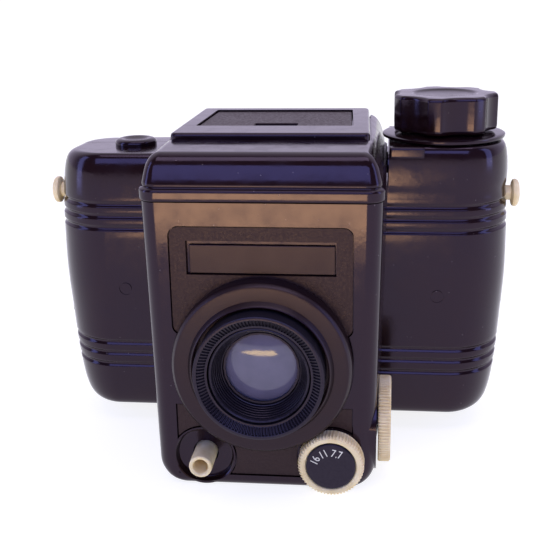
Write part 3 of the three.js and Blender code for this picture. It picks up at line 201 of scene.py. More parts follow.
def press_in(bm, half, y0, y1, corners, levels, inset_x, inset_y):
    """Slices a rounded block at the levels and moves its sides in by the inset at each height."""
    for z in levels:
        geom = bm.verts[:] + bm.edges[:] + bm.faces[:]
        bmesh.ops.bisect_plane(bm, geom=geom, dist=1e-5, plane_co=(0, 0, z), plane_no=(0, 0, 1))
    centre = (y0 + y1) / 2
    for vert in bm.verts:
        radius = corners[0] if vert.co.y < centre else corners[1]
        core_x = min(max(vert.co.x, radius - half), half - radius)
        core_y = min(max(vert.co.y, y0 + radius), y1 - radius)
        away = Vector((vert.co.x - core_x, vert.co.y - core_y))
        if away.length > 1e-6:
            away.normalize()
            vert.co.x -= away.x * inset_x(vert.co.z)
            vert.co.y -= away.y * inset_y(vert.co.z)
    return bm


def curve_through(points):
    """A smooth curve through (place, value) pairs that doesn't swing past them."""
    places = [p for p, _ in points]
    values = [v for _, v in points]
    rises = [(values[i + 1] - values[i]) / (places[i + 1] - places[i]) for i in range(len(points) - 1)]
    slopes = [rises[0]]
    for before, after in zip(rises, rises[1:]):
        slopes.append(2 * before * after / (before + after) if before * after > 0 else 0.0)
    slopes.append(rises[-1])

    def value_at(place):
        if place <= places[0]:
            return values[0]
        if place >= places[-1]:
            return values[-1]
        i = max(k for k, p in enumerate(places) if p <= place)
        i = min(i, len(places) - 2)
        run = places[i + 1] - places[i]
        t = (place - places[i]) / run
        return (
            values[i] * (1 + 2 * t) * (1 - t) ** 2
            + slopes[i] * run * t * (1 - t) ** 2
            + values[i + 1] * t * t * (3 - 2 * t)
            + slopes[i + 1] * run * t * t * (t - 1)
        )

    return value_at


def taper_depth(bm, y0, y1, half0, half1):
    """Widens or narrows a shape from front to rear."""
    for vert in bm.verts:
        t = min(max((vert.co.y - y0) / (y1 - y0), 0.0), 1.0)
        vert.co.x *= 1 + t * (half1 / half0 - 1)
    return bm


def rod(axis, a, b, start, end, radius, sides=48):
    """A round bar along an axis."""
    bm = bmesh.new()
    bmesh.ops.create_cone(
        bm, cap_ends=True, cap_tris=False, segments=sides, radius1=radius, radius2=radius,
        depth=abs(end - start),
    )
    centre = (start + end) / 2
    if axis == "x":
        bmesh.ops.rotate(bm, matrix=Matrix.Rotation(math.pi / 2, 3, "Y"), verts=bm.verts)
        place = (centre, a, b)
    elif axis == "y":
        bmesh.ops.rotate(bm, matrix=Matrix.Rotation(math.pi / 2, 3, "X"), verts=bm.verts)
        place = (a, centre, b)
    else:
        place = (a, b, centre)
    bmesh.ops.translate(bm, vec=place, verts=bm.verts)
    return bm


def lathe(axis, a, b, profile, steps=96):
    """Spins a profile of (radius, place) points about an axis."""
    bm = bmesh.new()
    if axis == "x":
        direction, centre = (1, 0, 0), (0, a, b)
        points = [(p, a + r, b) for r, p in profile]
    elif axis == "y":
        direction, centre = (0, 1, 0), (a, 0, b)
        points = [(a + r, p, b) for r, p in profile]
    else:
        direction, centre = (0, 0, 1), (a, b, 0)
        points = [(a + r, b, p) for r, p in profile]
    verts = [bm.verts.new(point) for point in points]
    edges = [bm.edges.new(pair) for pair in zip(verts, verts[1:])]
    if profile[0][0] > 1e-6 or profile[-1][0] > 1e-6:
        edges.append(bm.edges.new((verts[-1], verts[0])))
    bmesh.ops.spin(
        bm, geom=verts + edges, cent=centre, axis=direction, dvec=(0, 0, 0), angle=2 * math.pi,
        steps=steps, use_merge=True, use_duplicate=False,
    )
    return cleaned(bm)


def join(shape):
    """A change that joins a shape to the base."""
    return "UNION", shape


def cut(shape):
    """A change that cuts a shape from the base."""
    return "DIFFERENCE", shape


def combine(base, *changes):
    """Joins shapes to a base and cuts others from it, in order."""
    host = loose_object(base)
    tools = []
    for operation, shape in changes:
        tool = loose_object(shape)
        tools.append(tool)
        change = host.modifiers.new(operation, "BOOLEAN")
        change.operation = operation
        change.solver = "MANIFOLD"
        change.object = tool
    result = bmesh.new()
    result.from_object(host, bpy.context.evaluated_depsgraph_get())
    for spent in (host, *tools):
        mesh = spent.data
        bpy.data.objects.remove(spent)
        bpy.data.meshes.remove(mesh)
    if not result.faces:
        raise RuntimeError("joining and cutting left no faces")
    return result


def loose_object(bm):
    """A helper object that holds a shape while shapes are joined and cut."""
    cleaned(bm)
    mesh = bpy.data.meshes.new("helper")
    bm.to_mesh(mesh)
    bm.free()
    made = bpy.data.objects.new("helper", mesh)
    bpy.context.scene.collection.objects.link(made)
    return made


def make_piece(name, bm, body, look, replaces=(), edge=0.0, sharp=32.0, keep_normals=False):
    """Turns a shape in millimetres into a piece with a finish and its slot, riding on a body."""
    if not keep_normals:
        cleaned(bm)
    bmesh.ops.scale(bm, vec=(MM, MM, MM), verts=bm.verts)
    mesh = bpy.data.meshes.new(name)
    bm.to_mesh(mesh)
    bm.free()
    piece = bpy.data.objects.new(name, mesh)
    bpy.context.scene.collection.objects.link(piece)
    if edge > 0:
        rounding = piece.modifiers.new("Edges", "BEVEL")
        rounding.width = edge
        rounding.segments = 2
        rounding.limit_method = "ANGLE"
        rounding.angle_limit = math.radians(sharp)
        rounding.miter_outer = "MITER_ARC"
    mesh.shade_smooth()
    mesh.set_sharp_from_angle(angle=math.radians(sharp))
    weighted = piece.modifiers.new("Normals", "WEIGHTED_NORMAL")
    weighted.keep_sharp = True
    apply_modifiers(piece)
    piece.data.materials.clear()
    piece.data.materials.append(finish(look))
    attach(piece, body)
    if replaces:
        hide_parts(*replaces)
    return piece


def apply_modifiers(piece):
    """Replaces a piece's mesh with the mesh its modifiers make."""
    seen = piece.evaluated_get(bpy.context.evaluated_depsgraph_get())
    made = bpy.data.meshes.new_from_object(seen)
    old = piece.data
    piece.modifiers.clear()
    piece.data = made
    made.name = piece.name
    bpy.data.meshes.remove(old)


def cut_teeth(bm, axis, a, b, count, columns, depth, rows):
    """Sinks every other group of columns in the named rows, as fine knurling."""
    for vert in bm.verts:
        if axis == "x":
            across, up, place = vert.co.y - a, vert.co.z - b, vert.co.x
        else:
            across, up, place = vert.co.x - a, vert.co.z - b, vert.co.y
        radius = math.hypot(across, up)
        if not any(abs(radius - r) < 0.02 and abs(place - p) < 0.02 for r, p in rows):
            continue
        turn = math.atan2(up, across) / (2 * math.pi) * count * columns
        if round(turn) % columns >= columns / 2:
            share = (radius - depth) / radius
            if axis == "x":
                vert.co.y, vert.co.z = a + across * share, b + up * share
            else:
                vert.co.x, vert.co.z = a + across * share, b + up * share
    return bm


# ---------- Finishes ----------


def add(tree, kind, values=None, **settings):
    """Adds a node: values fill or link its inputs, settings change the node it"""
    made = tree.nodes.new(kind)
    for name, value in settings.items():
        setattr(made, name, value)
    for key, value in (values or {}).items():
        if isinstance(value, bpy.types.NodeSocket):
            tree.links.new(value, made.inputs[key])
        else:
            made.inputs[key].default_value = value
    return made


def new_finish(name, viewport):
    """An empty material with its output, its shader and object coordinates in millimetres."""
    material = bpy.data.materials.new(name)
    material.use_nodes = True
    material.diffuse_color = (*viewport, 1.0)
    tree = material.node_tree
    tree.nodes.clear()
    shader = add(tree, "ShaderNodeBsdfPrincipled")
    add(tree, "ShaderNodeOutputMaterial", {"Surface": shader.outputs["BSDF"]})
    coords = add(tree, "ShaderNodeTexCoord").outputs["Object"]
    scaled = add(tree, "ShaderNodeVectorMath", {0: coords, "Scale": 1000.0}, operation="SCALE")
    return material, tree, shader, scaled.outputs["Vector"]


def noise(tree, place, scale, detail=4.0, distortion=0.0):
    """Noise with its scale in cycles per millimetre."""
    values = {"Vector": place, "Scale": scale, "Detail": detail, "Distortion": distortion}
    return add(tree, "ShaderNodeTexNoise", values).outputs["Fac"]


def mixed(tree, share, first, second):
    """A colour between two others."""
    ends = [tone if isinstance(tone, bpy.types.NodeSocket) else (*tone, 1) for tone in (first, second)]
    return add(tree, "ShaderNodeMix", {0: share, 6: ends[0], 7: ends[1]}, data_type="RGBA").outputs[2]


def spread(tree, value, start, end, low, high):
    """A value taken from one range to another."""
    ranges = {"Value": value, "From Min": start, "From Max": end, "To Min": low, "To Max": high}
    return add(tree, "ShaderNodeMapRange", ranges).outputs["Result"]


def surface(tree, shader, tone, gloss=None, relief=None, fixed=None):
    """Links a colour, a roughness and a relief (height, strength, metres) to the shader."""
    tree.links.new(tone, shader.inputs["Base Color"])
    if gloss is not None:
        tree.links.new(gloss, shader.inputs["Roughness"])
    if relief is not None:
        height, strength, distance = relief
        values = {"Height": height, "Strength": strength, "Distance": distance}
        bump = add(tree, "ShaderNodeBump", values)
        tree.links.new(bump.outputs["Normal"], shader.inputs["Normal"])
    for name, value in (fixed or {}).items():
        shader.inputs[name].default_value = value


def polished_phenolic(colours):
    """Compression-moulded phenolic resin, polished by its mould: near black with brown in the light,
    a clear gloss with a faint orange peel, and fine dust and rub marks."""
    material, tree, shader, place = new_finish("polished_phenolic", colours.phenolic)
    # Flow streaks of the moulding powder are about 12 mm long.
    flow = mixed(tree, noise(tree, place, 0.08, 3.0, 0.6), colours.phenolic, colours.phenolic_warm)
    # Dust grains of 0.2 mm lie about 3 mm apart.
    dust = add(tree, "ShaderNodeTexVoronoi", {"Vector": place, "Scale": 0.35, "Randomness": 1.0})
    grain = spread(tree, dust.outputs["Distance"], 0.06, 0.035, 0.0, 0.22)
    # Rubbed areas are a few millimetres across and a little duller.
    rubs = noise(tree, place, 0.22, 6.0)
    surface(
        tree, shader, mixed(tree, grain, flow, (0.42, 0.38, 0.36)),
        spread(tree, rubs, 0.35, 0.7, 0.09, 0.2), (noise(tree, place, 0.7, 2.0), 0.22, 0.00005),
        {"IOR": 1.42, "Specular Tint": (0.92, 0.72, 1.0, 1)},
    )
    return material


def grained_phenolic(colours):
    """Phenolic moulded against an etched tool: a matt leather-like grain of about half a millimetre."""
    material, tree, shader, place = new_finish("grained_phenolic", colours.grained)
    cells = add(tree, "ShaderNodeTexVoronoi", {"Vector": place, "Scale": 1.7}, feature="SMOOTH_F1")
    both = add(
        tree, "ShaderNodeMath", {0: cells.outputs["Distance"], 1: noise(tree, place, 3.2, 3.0)},
        operation="ADD",
    ).outputs["Value"]
    tone = mixed(tree, noise(tree, place, 0.12), colours.grained, colours.phenolic_warm)
    surface(
        tree, shader, tone, spread(tree, both, 0.55, 1.2, 0.34, 0.55), (both, 0.5, 0.00012),
        {"IOR": 1.42, "Specular Tint": (1.0, 0.78, 0.86, 1)},
    )
    return material


def satin_phenolic(colours):
    """Phenolic from a blasted part of the mould: dark with an even satin sheen."""
    material, tree, shader, place = new_finish("satin_phenolic", colours.phenolic)
    patches = noise(tree, place, 0.15)
    surface(
        tree, shader, mixed(tree, patches, colours.phenolic, colours.phenolic_warm),
        spread(tree, patches, 0.0, 1.0, 0.26, 0.42), (noise(tree, place, 2.4, 3.0), 0.3, 0.00006),
        {"IOR": 1.4, "Specular Tint": (1.0, 0.78, 0.95, 1)},
    )
    return material


def ivory_plastic(colours):
    """Urea plastic aged to ivory: slightly translucent, satin, yellower and dirtier in patches."""
    material, tree, shader, place = new_finish("ivory_plastic", colours.ivory)
    ageing = noise(tree, place, 0.3, 5.0)
    old = tuple(c * f for c, f in zip(colours.ivory, (0.82, 0.74, 0.56)))
    surface(
        tree, shader, mixed(tree, spread(tree, ageing, 0.35, 0.75, 0.0, 1.0), colours.ivory, old),
        spread(tree, ageing, 0.0, 1.0, 0.28, 0.5), (ageing, 0.25, 0.00006),
        {"Subsurface Weight": 0.1, "Subsurface Radius": (0.0012, 0.0009, 0.0005)},
    )
    return material


def spring_steel(colours):
    """Rolled and blued spring steel: grey metal with fine rolling lines."""
    material, tree, shader, place = new_finish("spring_steel", (0.45, 0.45, 0.46))
    drawn = add(tree, "ShaderNodeMapping", {"Vector": place, "Scale": (4.0, 4.0, 0.3)}).outputs["Vector"]
    lines = noise(tree, drawn, 1.2)
    tone = mixed(tree, lines, (0.34, 0.34, 0.35), (0.6, 0.59, 0.57))
    surface(tree, shader, tone, spread(tree, lines, 0.0, 1.0, 0.24, 0.42), fixed={"Metallic": 1.0})
    return material


# Finishes with a single noise over them. Name, colour in the viewport, noise (cycles a millimetre and
# detail), two colours it blends, range of roughness, relief (strength, metres), and fixed values.
# A colour may be the name of one of the scene's colours.
PLAIN_FINISHES = {
    # Turned metal under stoved black enamel: deep black, satin, with faint turning marks.
    "enamel": (
        "black_enamel", "enamel", (1.6, 5.0), ("enamel", (0.021, 0.018, 0.024)), (0.24, 0.4),
        (0.2, 0.00003), {"IOR": 1.38, "Specular Tint": (0.95, 0.76, 1.0, 1)},
    ),
    # Matt black paint that stops stray light inside the camera: no gloss, slightly dusty.
    "matt": (
        "matt_black", "enamel", (0.6, 5.0), ((0.008, 0.008, 0.009), (0.02, 0.019, 0.02)), None,
        (0.4, 0.0001), {"Roughness": 0.75},
    ),
    # Turned brass, dulled by handling: warm yellow metal with fine tool marks.
    "brass": (
        "turned_brass", (0.6, 0.42, 0.16), (1.5, 5.0), ((0.42, 0.27, 0.09), (0.72, 0.52, 0.24)),
        (0.25, 0.45), None, {"Metallic": 1.0},
    ),
    # Polished crown glass, uncoated; its lavender-grey base colour is a painted reflection of a pale sky,
    # so it shows grey over the dark barrel.
    "lens": (
        "crown_glass", (0.5, 0.48, 0.55), (0.25, 6.0), ((0.13, 0.12, 0.19), (0.22, 0.2, 0.3)),
        (0.03, 0.12), None, {"Transmission Weight": 0.3, "IOR": 1.52},
    ),
    # Moulded clear window glass: nearly colourless, with faint smears.
    "window": (
        "window_glass", (0.8, 0.82, 0.85), (0.2, 5.0), ((0.85, 0.87, 0.92), (0.85, 0.87, 0.92)),
        (0.02, 0.12), None, {"Transmission Weight": 0.9, "IOR": 1.5},
    ),
    # Ruby celluloid of the film window: deep red and clear, with a soft gloss.
    "ruby": (
        "ruby_celluloid", (0.35, 0.01, 0.01), (0.3, 5.0), ((0.25, 0.004, 0.004), (0.45, 0.02, 0.015)),
        (0.08, 0.2), None, {"Transmission Weight": 0.5, "IOR": 1.5},
    ),
}


def plain_finish(colours, name, viewport, grain, tones, gloss, relief, fixed):
    """A finish whose colour, roughness and relief follow one noise."""
    viewport, *tones = (getattr(colours, t) if isinstance(t, str) else t for t in (viewport, *tones))
    material, tree, shader, place = new_finish(name, viewport)
    marks = noise(tree, place, *grain)
    surface(
        tree, shader, mixed(tree, marks, *tones), gloss and spread(tree, marks, 0.0, 1.0, *gloss),
        relief and (marks, *relief), fixed,
    )
    return material


def numeral_paint(colours):
    """Pale paint wiped into engraved numbers: flat, slightly broken."""
    material, tree, shader, place = new_finish("numeral_paint", colours.numerals)
    worn = tuple(c * 0.7 for c in colours.numerals)
    tone = mixed(tree, noise(tree, place, 2.5), colours.numerals, worn)
    surface(tree, shader, tone, fixed={"Roughness": 0.55})
    return material


FINISH_MAKERS = {
    "polished": polished_phenolic,
    "grained": grained_phenolic,
    "satin": satin_phenolic,
    "ivory": ivory_plastic,
    "steel": spring_steel,
    "numeral": numeral_paint,
}
# Materials made so far, by finish name.
finishes = {}


def finish(name):
    """The material of that finish, made once."""
    if name not in finishes:
        colours = bpy.context.scene.box_camera_colours
        if name in PLAIN_FINISHES:
            finishes[name] = plain_finish(colours, *PLAIN_FINISHES[name])
        else:
            finishes[name] = FINISH_MAKERS[name](colours)
    return finishes[name]


# ---------- Body and cover ----------

DRUM_HALF, DRUM_FRONT, DRUM_REAR = 64.5, -16.5, 22.0
DRUM_CORNERS = (16.0, 12.0)
DRUM_BOTTOM, DRUM_TOP = 5.4, 82.0
GROOVES = (19.4, 23.0, 26.4, 61.0, 64.4, 67.8)
GROOVE_HALF = 1.0
BLOCK_TOP = 76.6
BLOCK_HALF, BLOCK_HALF_REAR = 29.7, 31.6
HOLLOW_HALF, HOLLOW_HALF_REAR = 25.75, 27.65
HOLLOW_BOTTOM = 6.8
BULGE_HALF, BULGE_REAR = 36.0, 30.0
HINGE_X, HINGE_Y = -65.2, 8.2
LATCH_RECESS = (63.1, 70, 1.4, 14.4, 34.4, 53.4)
LUG_Z = 68.5
BUSH_Y = -28


def drum_block(wall, z0, z1, levels, inset, sides):
    """A block with the drums' outline, in by a wall, whose sides follow the inset at each height."""
    half, y0, y1 = DRUM_HALF - wall, DRUM_FRONT + wall, DRUM_REAR - wall
    corners = [radius - wall for radius in DRUM_CORNERS]
    bm = rounded_block(half, y0, y1, corners, z0, z1, sides)
    return press_in(bm, half, y0, y1, corners, levels, inset, lambda z: 0.6 * inset(z))


def drum_shape(groove_depth):
    """Both film drums as one barrel-sided body with its grooves."""
    barrel = curve_through([
        (5.4, 7.6), (5.65, 6.75), (6.0, 5.95), (6.5, 5.25), (7.1, 4.65), (8, 4.1), (9, 3.65), (13, 2.65),
        (22.4, 1.5), (33.4, 0.8), (48.4, 0.02), (61, 0.2), (68, 0.62), (74, 1.2), (77.5, 1.75), (79.6, 2.4),
        (80.8, 3.15), (81.5, 4.0), (81.9, 5.0), (82, 6),
    ])

    def inset(z):
        near = min(abs(z - g) for g in GROOVES)
        dip = math.cos(math.pi / 2 * near / GROOVE_HALF) ** 1.5 if near < GROOVE_HALF else 0.0
        return barrel(z) + groove_depth * dip

    levels = [5.45, 5.55, 5.7, 5.9, 6.15, 6.5, 6.9, 7.4, 8, 8.8, 9.8, 11, 12.4, 14, 16, 18]
    levels += [g + d for g in GROOVES for d in (-1, -0.75, -0.5, -0.25, 0, 0.25, 0.5, 0.75, 1)]
    levels += [28.5, 31, 34, 37, 40, 43, 46, 49, 52, 55, 57.5, 70, 71.8, 73.5, 75, 76.3, 77.5, 78.5]
    levels += [79.3, 80, 80.5, 80.9, 81.25, 81.5, 81.7, 81.85, 81.95]
    bm = drum_block(0, DRUM_BOTTOM, DRUM_TOP, sorted(levels), inset, 14)
    # The left drum's top falls a little towards the rear.
    start, fall = 74, 1.4
    for vert in bm.verts:
        if vert.co.x < 0 and vert.co.z > start:
            back = (vert.co.y - DRUM_FRONT) / (DRUM_REAR - DRUM_FRONT)
            vert.co.z -= fall * (vert.co.z - start) / (DRUM_TOP - start) * back
    return bm


def drum_hollow(wall):
    """The film chambers' space inside the drums."""
    inset = curve_through([
        (6.8, 3.6), (9.8, 2.9), (13.8, 2.3), (20.8, 1.7), (44.8, 0.2), (68, 0.8), (78.6, 2.6), (79.6, 3.6),
    ])
    levels = [7.3, 8.2, 9.8, 11.5, 13.8, 17, 20.8, 26, 32, 40, 50, 60, 68, 72, 75, 77, 78.6, 79.2]
    return drum_block(wall, HOLLOW_BOTTOM, 79.6, levels, inset, 8)


def right_drum_top():
    """The right drum's upper end, which runs on up to the knob's skirt."""
    inset = curve_through([
        (70.2, 1.3), (72.5, 0.72), (75, 0.6), (78, 0.7), (80.5, 0.95), (82, 1.25), (82.9, 1.6), (83.5, 2.1),
        (83.9, 2.7), (84.1, 3.4),
    ])
    levels = [71.2, 72.5, 74, 76, 78, 79.5, 80.5, 81.3, 82, 82.5, 82.9, 83.2, 83.5, 83.7, 83.9, 84.0]
    bm = drum_block(0, 70.2, 84.1, levels, inset, 14)
    return combine(bm, cut(block(-90, 30.9, -40, 40, 60, 100)))


def arc_inset(z, radius):
    """How far a rounded bottom edge of that radius is in at a height."""
    if z >= radius:
        return 0.0
    return radius - math.sqrt(max(radius * radius - (radius - z) ** 2, 0.0))


def front_block():
    """The block that carries the lens, narrower at the base, with rounded lower corners."""
    half, y0, y1, corners = BLOCK_HALF, FRONT, PARTING + 4, (4.0, 1.0)
    levels = [0.08, 0.25, 0.5, 0.85, 1.3, 1.8, 2.4, 3.1, 3.9, 4.8, 5.8, 6.9, 8, 20, 35, 50, 65]
    bm = rounded_block(half, y0, y1, corners, 0, BLOCK_TOP + 0.001, sides=8)
    press_in(bm, half, y0, y1, corners, levels, lambda z: 0.0, lambda z: 0.0)
    for vert in bm.verts:
        z = vert.co.z
        vert.co.x *= 1 - (1.45 * (1 - z / BLOCK_TOP) + arc_inset(z, 6.6)) / half
        vert.co.y += arc_inset(z, 2.4) * (y1 - vert.co.y) / (y1 - y0)
    return taper_depth(bm, y0, y1, half, BLOCK_HALF_REAR)


def back_bulge():
    """The flatter back that the film runs over."""
    half, y0, y1, corners = BULGE_HALF, -11.0, BULGE_REAR, (1.0, 4.0)
    levels = [5.5, 5.7, 6, 6.4, 6.9, 7.6, 8.4, 9.6, 12, 20, 40, 60, 72, 74, 75, 75.7, 76.2, 76.5]
    inset = curve_through([
        (5.4, 4), (6.4, 2.2), (8.4, 0.9), (12.4, 0.2), (30, 0), (72, 0), (74.5, 0.25), (76, 1), (76.6, 2.2),
    ])
    bm = rounded_block(half, y0, y1, corners, DRUM_BOTTOM, BLOCK_TOP, sides=8)
    return press_in(bm, half, y0, y1, corners, levels, inset, inset)


def block_hollow(wall, rear, bottom):
    """The space inside the front block, back to a depth and down to a height."""
    bm = rounded_block(HOLLOW_HALF, FRONT + wall, rear, (1.6, 1.0), bottom, BLOCK_TOP + 5, sides=4)
    return taper_depth(bm, FRONT + wall, PARTING + 4, HOLLOW_HALF, HOLLOW_HALF_REAR)


def bulge_hollow(wall):
    """The space inside the back."""
    half, rear, top = BULGE_HALF - wall, BULGE_REAR - wall, BLOCK_TOP - wall
    return rounded_block(half, -8, rear, (1.0, 1.6), HOLLOW_BOTTOM, top, sides=4)


def panel_shape(grow, y0, y1):
    """The outline of the grained panel: an upper field, a round one and a lower one, less the controls."""
    half = 22.6 + grow
    upper = rounded_block(
        half, 42.6 - grow, 70.5 + grow, (2.3 + grow, 2.3 + grow), -y1, -y0, sides=6,
    )
    bmesh.ops.rotate(upper, matrix=Matrix.Rotation(math.pi / 2, 3, "X"), verts=upper.verts)
    lower = block(-half, half, y0, y1, 3.6 - grow, LENS.z - 12 + grow)
    return combine(
        upper,
        join(rod("y", 0, LENS.z, y0, y1, 22.8 + grow, 96)),
        join(lower),
        cut(rod("y", RELEASE.x, RELEASE.z, y0 - 5, y1 + 5, 8.6 - grow, 64)),
        cut(rod("y", DIAL.x, DIAL.z, y0 - 5, y1 + 5, 9.1 - grow, 64)),
    )


def hinge_rod(z0, z1, radius, sides=32):
    """A round bar on the hinge's axis."""
    return rod("z", HINGE_X, HINGE_Y, z0, z1, radius, sides)


def hinge_bore():
    """The bore of the hinge pin, and the wider one of its head."""
    return cut(hinge_rod(20, 66, 1.1, 24)), cut(hinge_rod(58, 59.5, 1.9, 24))


def hinge_knuckle(index, toward_back):
    """One barrel of the hinge with its web."""
    z0 = 28 + 10 * index + 0.15
    z1 = z0 + 9.7
    y0 = 8.7 if toward_back else 5.9
    return combine(
        hinge_rod(z0, z1, 2.3), join(block(HINGE_X, HINGE_X + 1.9, y0, y0 + 1.8, z0, z1))
    )


def ejector_ring(x, z):
    """The thin ring that an ejector pin leaves."""
    return lathe("y", x, z, [(1.62, -17.5), (1.9, -17.5), (1.9, -16.15), (1.62, -16.15)], steps=48)


def knob_step():
    """The raised step under the winding knob."""
    step = block(30.9, 40.4, -16.1, 4, 81, 84.1)
    edges = [e for e in step.edges if all(v.co.z > 84 or v.co.y < -14 for v in e.verts)]
    bevel(step, edges, 0.7, 4)
    return step


def drum_boss():
    """The dished boss on the left drum's top."""
    profile = [
        (0, 80.9), (6, 80.9), (6, 82.4), (5.8, 82.9), (5.4, 83.25), (4.8, 83.45), (4.2, 83.5),
        (3.6, 83.4), (3, 83.15), (2, 82.85), (0, 82.7),
    ]
    return lathe("z", -42.7, 2.4, profile, steps=72)


def dish():
    """The round dish that the release stands in."""
    profile = [
        (0, -5), (7.9, -5), (7.9, -0.02), (7.6, 0.25), (7.5, 1.4), (7.1, 2.2), (6.3, 2.6), (0, 2.6),
    ]
    return lathe("y", RELEASE.x, RELEASE.z, [(r, FRONT + depth) for r, depth in profile], steps=72)


def window_rail(z):
    """A rail that the film window's shutter slides in."""
    rail = block(-9, 22, 29.5, 31.6, z - 0.8, z + 0.8)
    edges = [e for e in rail.edges if all(v.co.y > 31 for v in e.verts)]
    bevel(rail, edges, 0.35, 3)
    return rail


@operator("shell", "Body and Cover")
def model_shell(context):
    """Model the moulded front body and the hinged rear cover"""
    sizes = context.scene.box_camera_sizes
    wall = sizes.wall / MM
    shell = combine(
        drum_shape(sizes.groove_depth / MM),
        join(right_drum_top()),
        join(front_block()),
        join(back_bulge()),
        cut(drum_hollow(wall)),
        cut(block_hollow(wall, PARTING + 4 - wall, wall)),
        cut(block_hollow(wall, PARTING + 4, HOLLOW_BOTTOM)),
        cut(bulge_hollow(wall)),
        cut(block(-30.6, 30.6, -55, 35, BLOCK_TOP, 96)),
    )
    halves = shell.copy()
    body = combine(
        shell,
        join(knob_step()),
        join(rod("z", KNOB.x, KNOB.y, 78.1, 83, 6, 48)),
        join(drum_boss()),
        join(rod("y", RELEASE.x, RELEASE.z, FRONT + 0.5, FRONT + 4.1, 8.2, 64)),
        join(rod("y", RELEASE.x, RELEASE.z, FRONT + 0.5, FRONT + 7, 5.2, 48)),
        join(rod("x", WHEEL.y, WHEEL.z, 24.2, 28.8, 13.5, 64)),
        cut(block(-90, 90, PARTING, 60, -10, 100)),
        join(hinge_knuckle(0, False)),
        join(hinge_knuckle(2, False)),
        cut(hinge_rod(37.9, 48.1, 2.7)),
        *hinge_bore(),
        cut(block(*LATCH_RECESS)),
        cut(panel_shape(0.3, FRONT - 5, FRONT + 1.6)),
        cut(rod("y", 0, LENS.z, FRONT - 5, FRONT + 5, 12.9, 96)),
        cut(dish()),
        cut(rod("y", RELEASE.x, RELEASE.z, FRONT - 5, FRONT + 12, 3.4, 48)),
        cut(rod("y", DIAL.x, DIAL.z, FRONT - 5, FRONT + 5, 1.65, 32)),
        cut(rod("x", WHEEL.y, WHEEL.z, 28.8, 40, 12.1, 96)),
        cut(rod("x", WHEEL.y, WHEEL.z, 17, 32, 2.15, 32)),
        cut(rod("z", KNOB.x, KNOB.y, 76, 90, 2.75, 32)),
        *(cut(rod("z", x, KNOB.y, 0, 7.1, 2.15, 24)) for x in (-KNOB.x, KNOB.x)),
        cut(rod("z", 0, BUSH_Y, -5, 7, 5.8, 48)),
        *(cut(rod("x", 0, LUG_Z, x, x + 11, 2.4, 32)) for x in (-70, 59)),
        cut(ejector_ring(44.8, 42.6)),
        cut(ejector_ring(-43.5, 43.2)),
        join(rod("x", 4.6, 43, 62.6, 64.3, 1.2, 24)),
    )
    cover = combine(
        halves,
        cut(block(-90, 90, -90, PARTING + 0.3, -10, 100)),
        join(hinge_knuckle(1, True)),
        join(window_rail(FILM_Z - 8.7)),
        join(window_rail(FILM_Z + 8.7)),
        cut(hinge_rod(27, 38.1, 2.7)),
        cut(hinge_rod(47.9, 59, 2.7)),
        *hinge_bore(),
        cut(block(*LATCH_RECESS)),
        cut(rod("y", 0, FILM_Z, 25, 35, 5.5, 64)),
        cut(rod("y", 0, FILM_Z, 25, 28.8, 7.3, 64)),
    )
    make_piece("front_shell", body, "body", "polished", ["front_body"], keep_normals=True)
    make_piece("cover_shell", cover, "rear_cover", "polished", ["rear_cover"], keep_normals=True)


# ---------- Hood and finder ----------


def finder_block(grow, inset, z0, z1):
    """The finder's outline, slightly narrower behind, raised between two heights."""
    half = 26.0 + grow - inset
    y0, y1 = -28 - grow + inset, 18 + grow - inset
    bm = rounded_block(half, y0, y1, (1.6, 1.6), z0, z1, sides=6)
    return taper_depth(bm, y0, y1, half, half - 1.2)


@operator("hood", "Top Hood")
def model_hood(context):
    """Model the hood over the block, with the well that the finder stands in"""
    inset = curve_through([
        (76.9, 0.3), (77.05, 0.1), (77.35, 0.0), (79.3, 0.0), (79.6, 0.12), (79.85, 0.45), (80.0, 0.85),
        (80.25, 1.0), (80.5, 0.85), (80.8, 0.8), (82.5, 1.2), (84.3, 1.75), (85.4, 2.2), (86.4, 2.8),
        (87.2, 3.5), (87.8, 4.3), (88.15, 5.1), (88.3, 6.0),
    ])
    levels = [
        77.0, 77.1, 77.35, 78, 79, 79.3, 79.5, 79.7, 79.85, 80, 80.12, 80.25, 80.38, 80.5, 80.8,
        81.5, 82.5, 83.5, 84.3, 85, 85.6, 86.2, 86.7, 87.1, 87.45, 87.75, 88.0, 88.15, 88.25,
    ]
    half, y0, y1 = 30.3, -50.6, 21
    outer = rounded_block(half, y0, y1, (4.6, 5.0), 76.9, 88.3, sides=10)
    press_in(outer, half, y0, y1, (8.0, 8.0), levels, inset, inset)
    hood = combine(
        outer,
        cut(rounded_block(26.9, -47.2, 18, (2, 2), 70, 85.6, sides=4)),
        join(finder_block(1.7, 3.6, 68.2, 87.2)),
        cut(finder_block(0.4, 3.6, 69.4, 95)),
        cut(finder_block(0.4, 0.0, 87.2, 95)),
    )
    make_piece("hood_shell", hood, "body", "polished", ["top_hood"], keep_normals=True)


def finder_panel(grow, z0, z1):
    """The panel let into the finder's top."""
    half = 21 + grow
    bm = rounded_block(half, -15.5 - grow, 13.5 + grow, (0.8, 0.8), z0, z1, sides=4)
    return taper_depth(bm, -15.5, 13.5, half, half - 1.2)


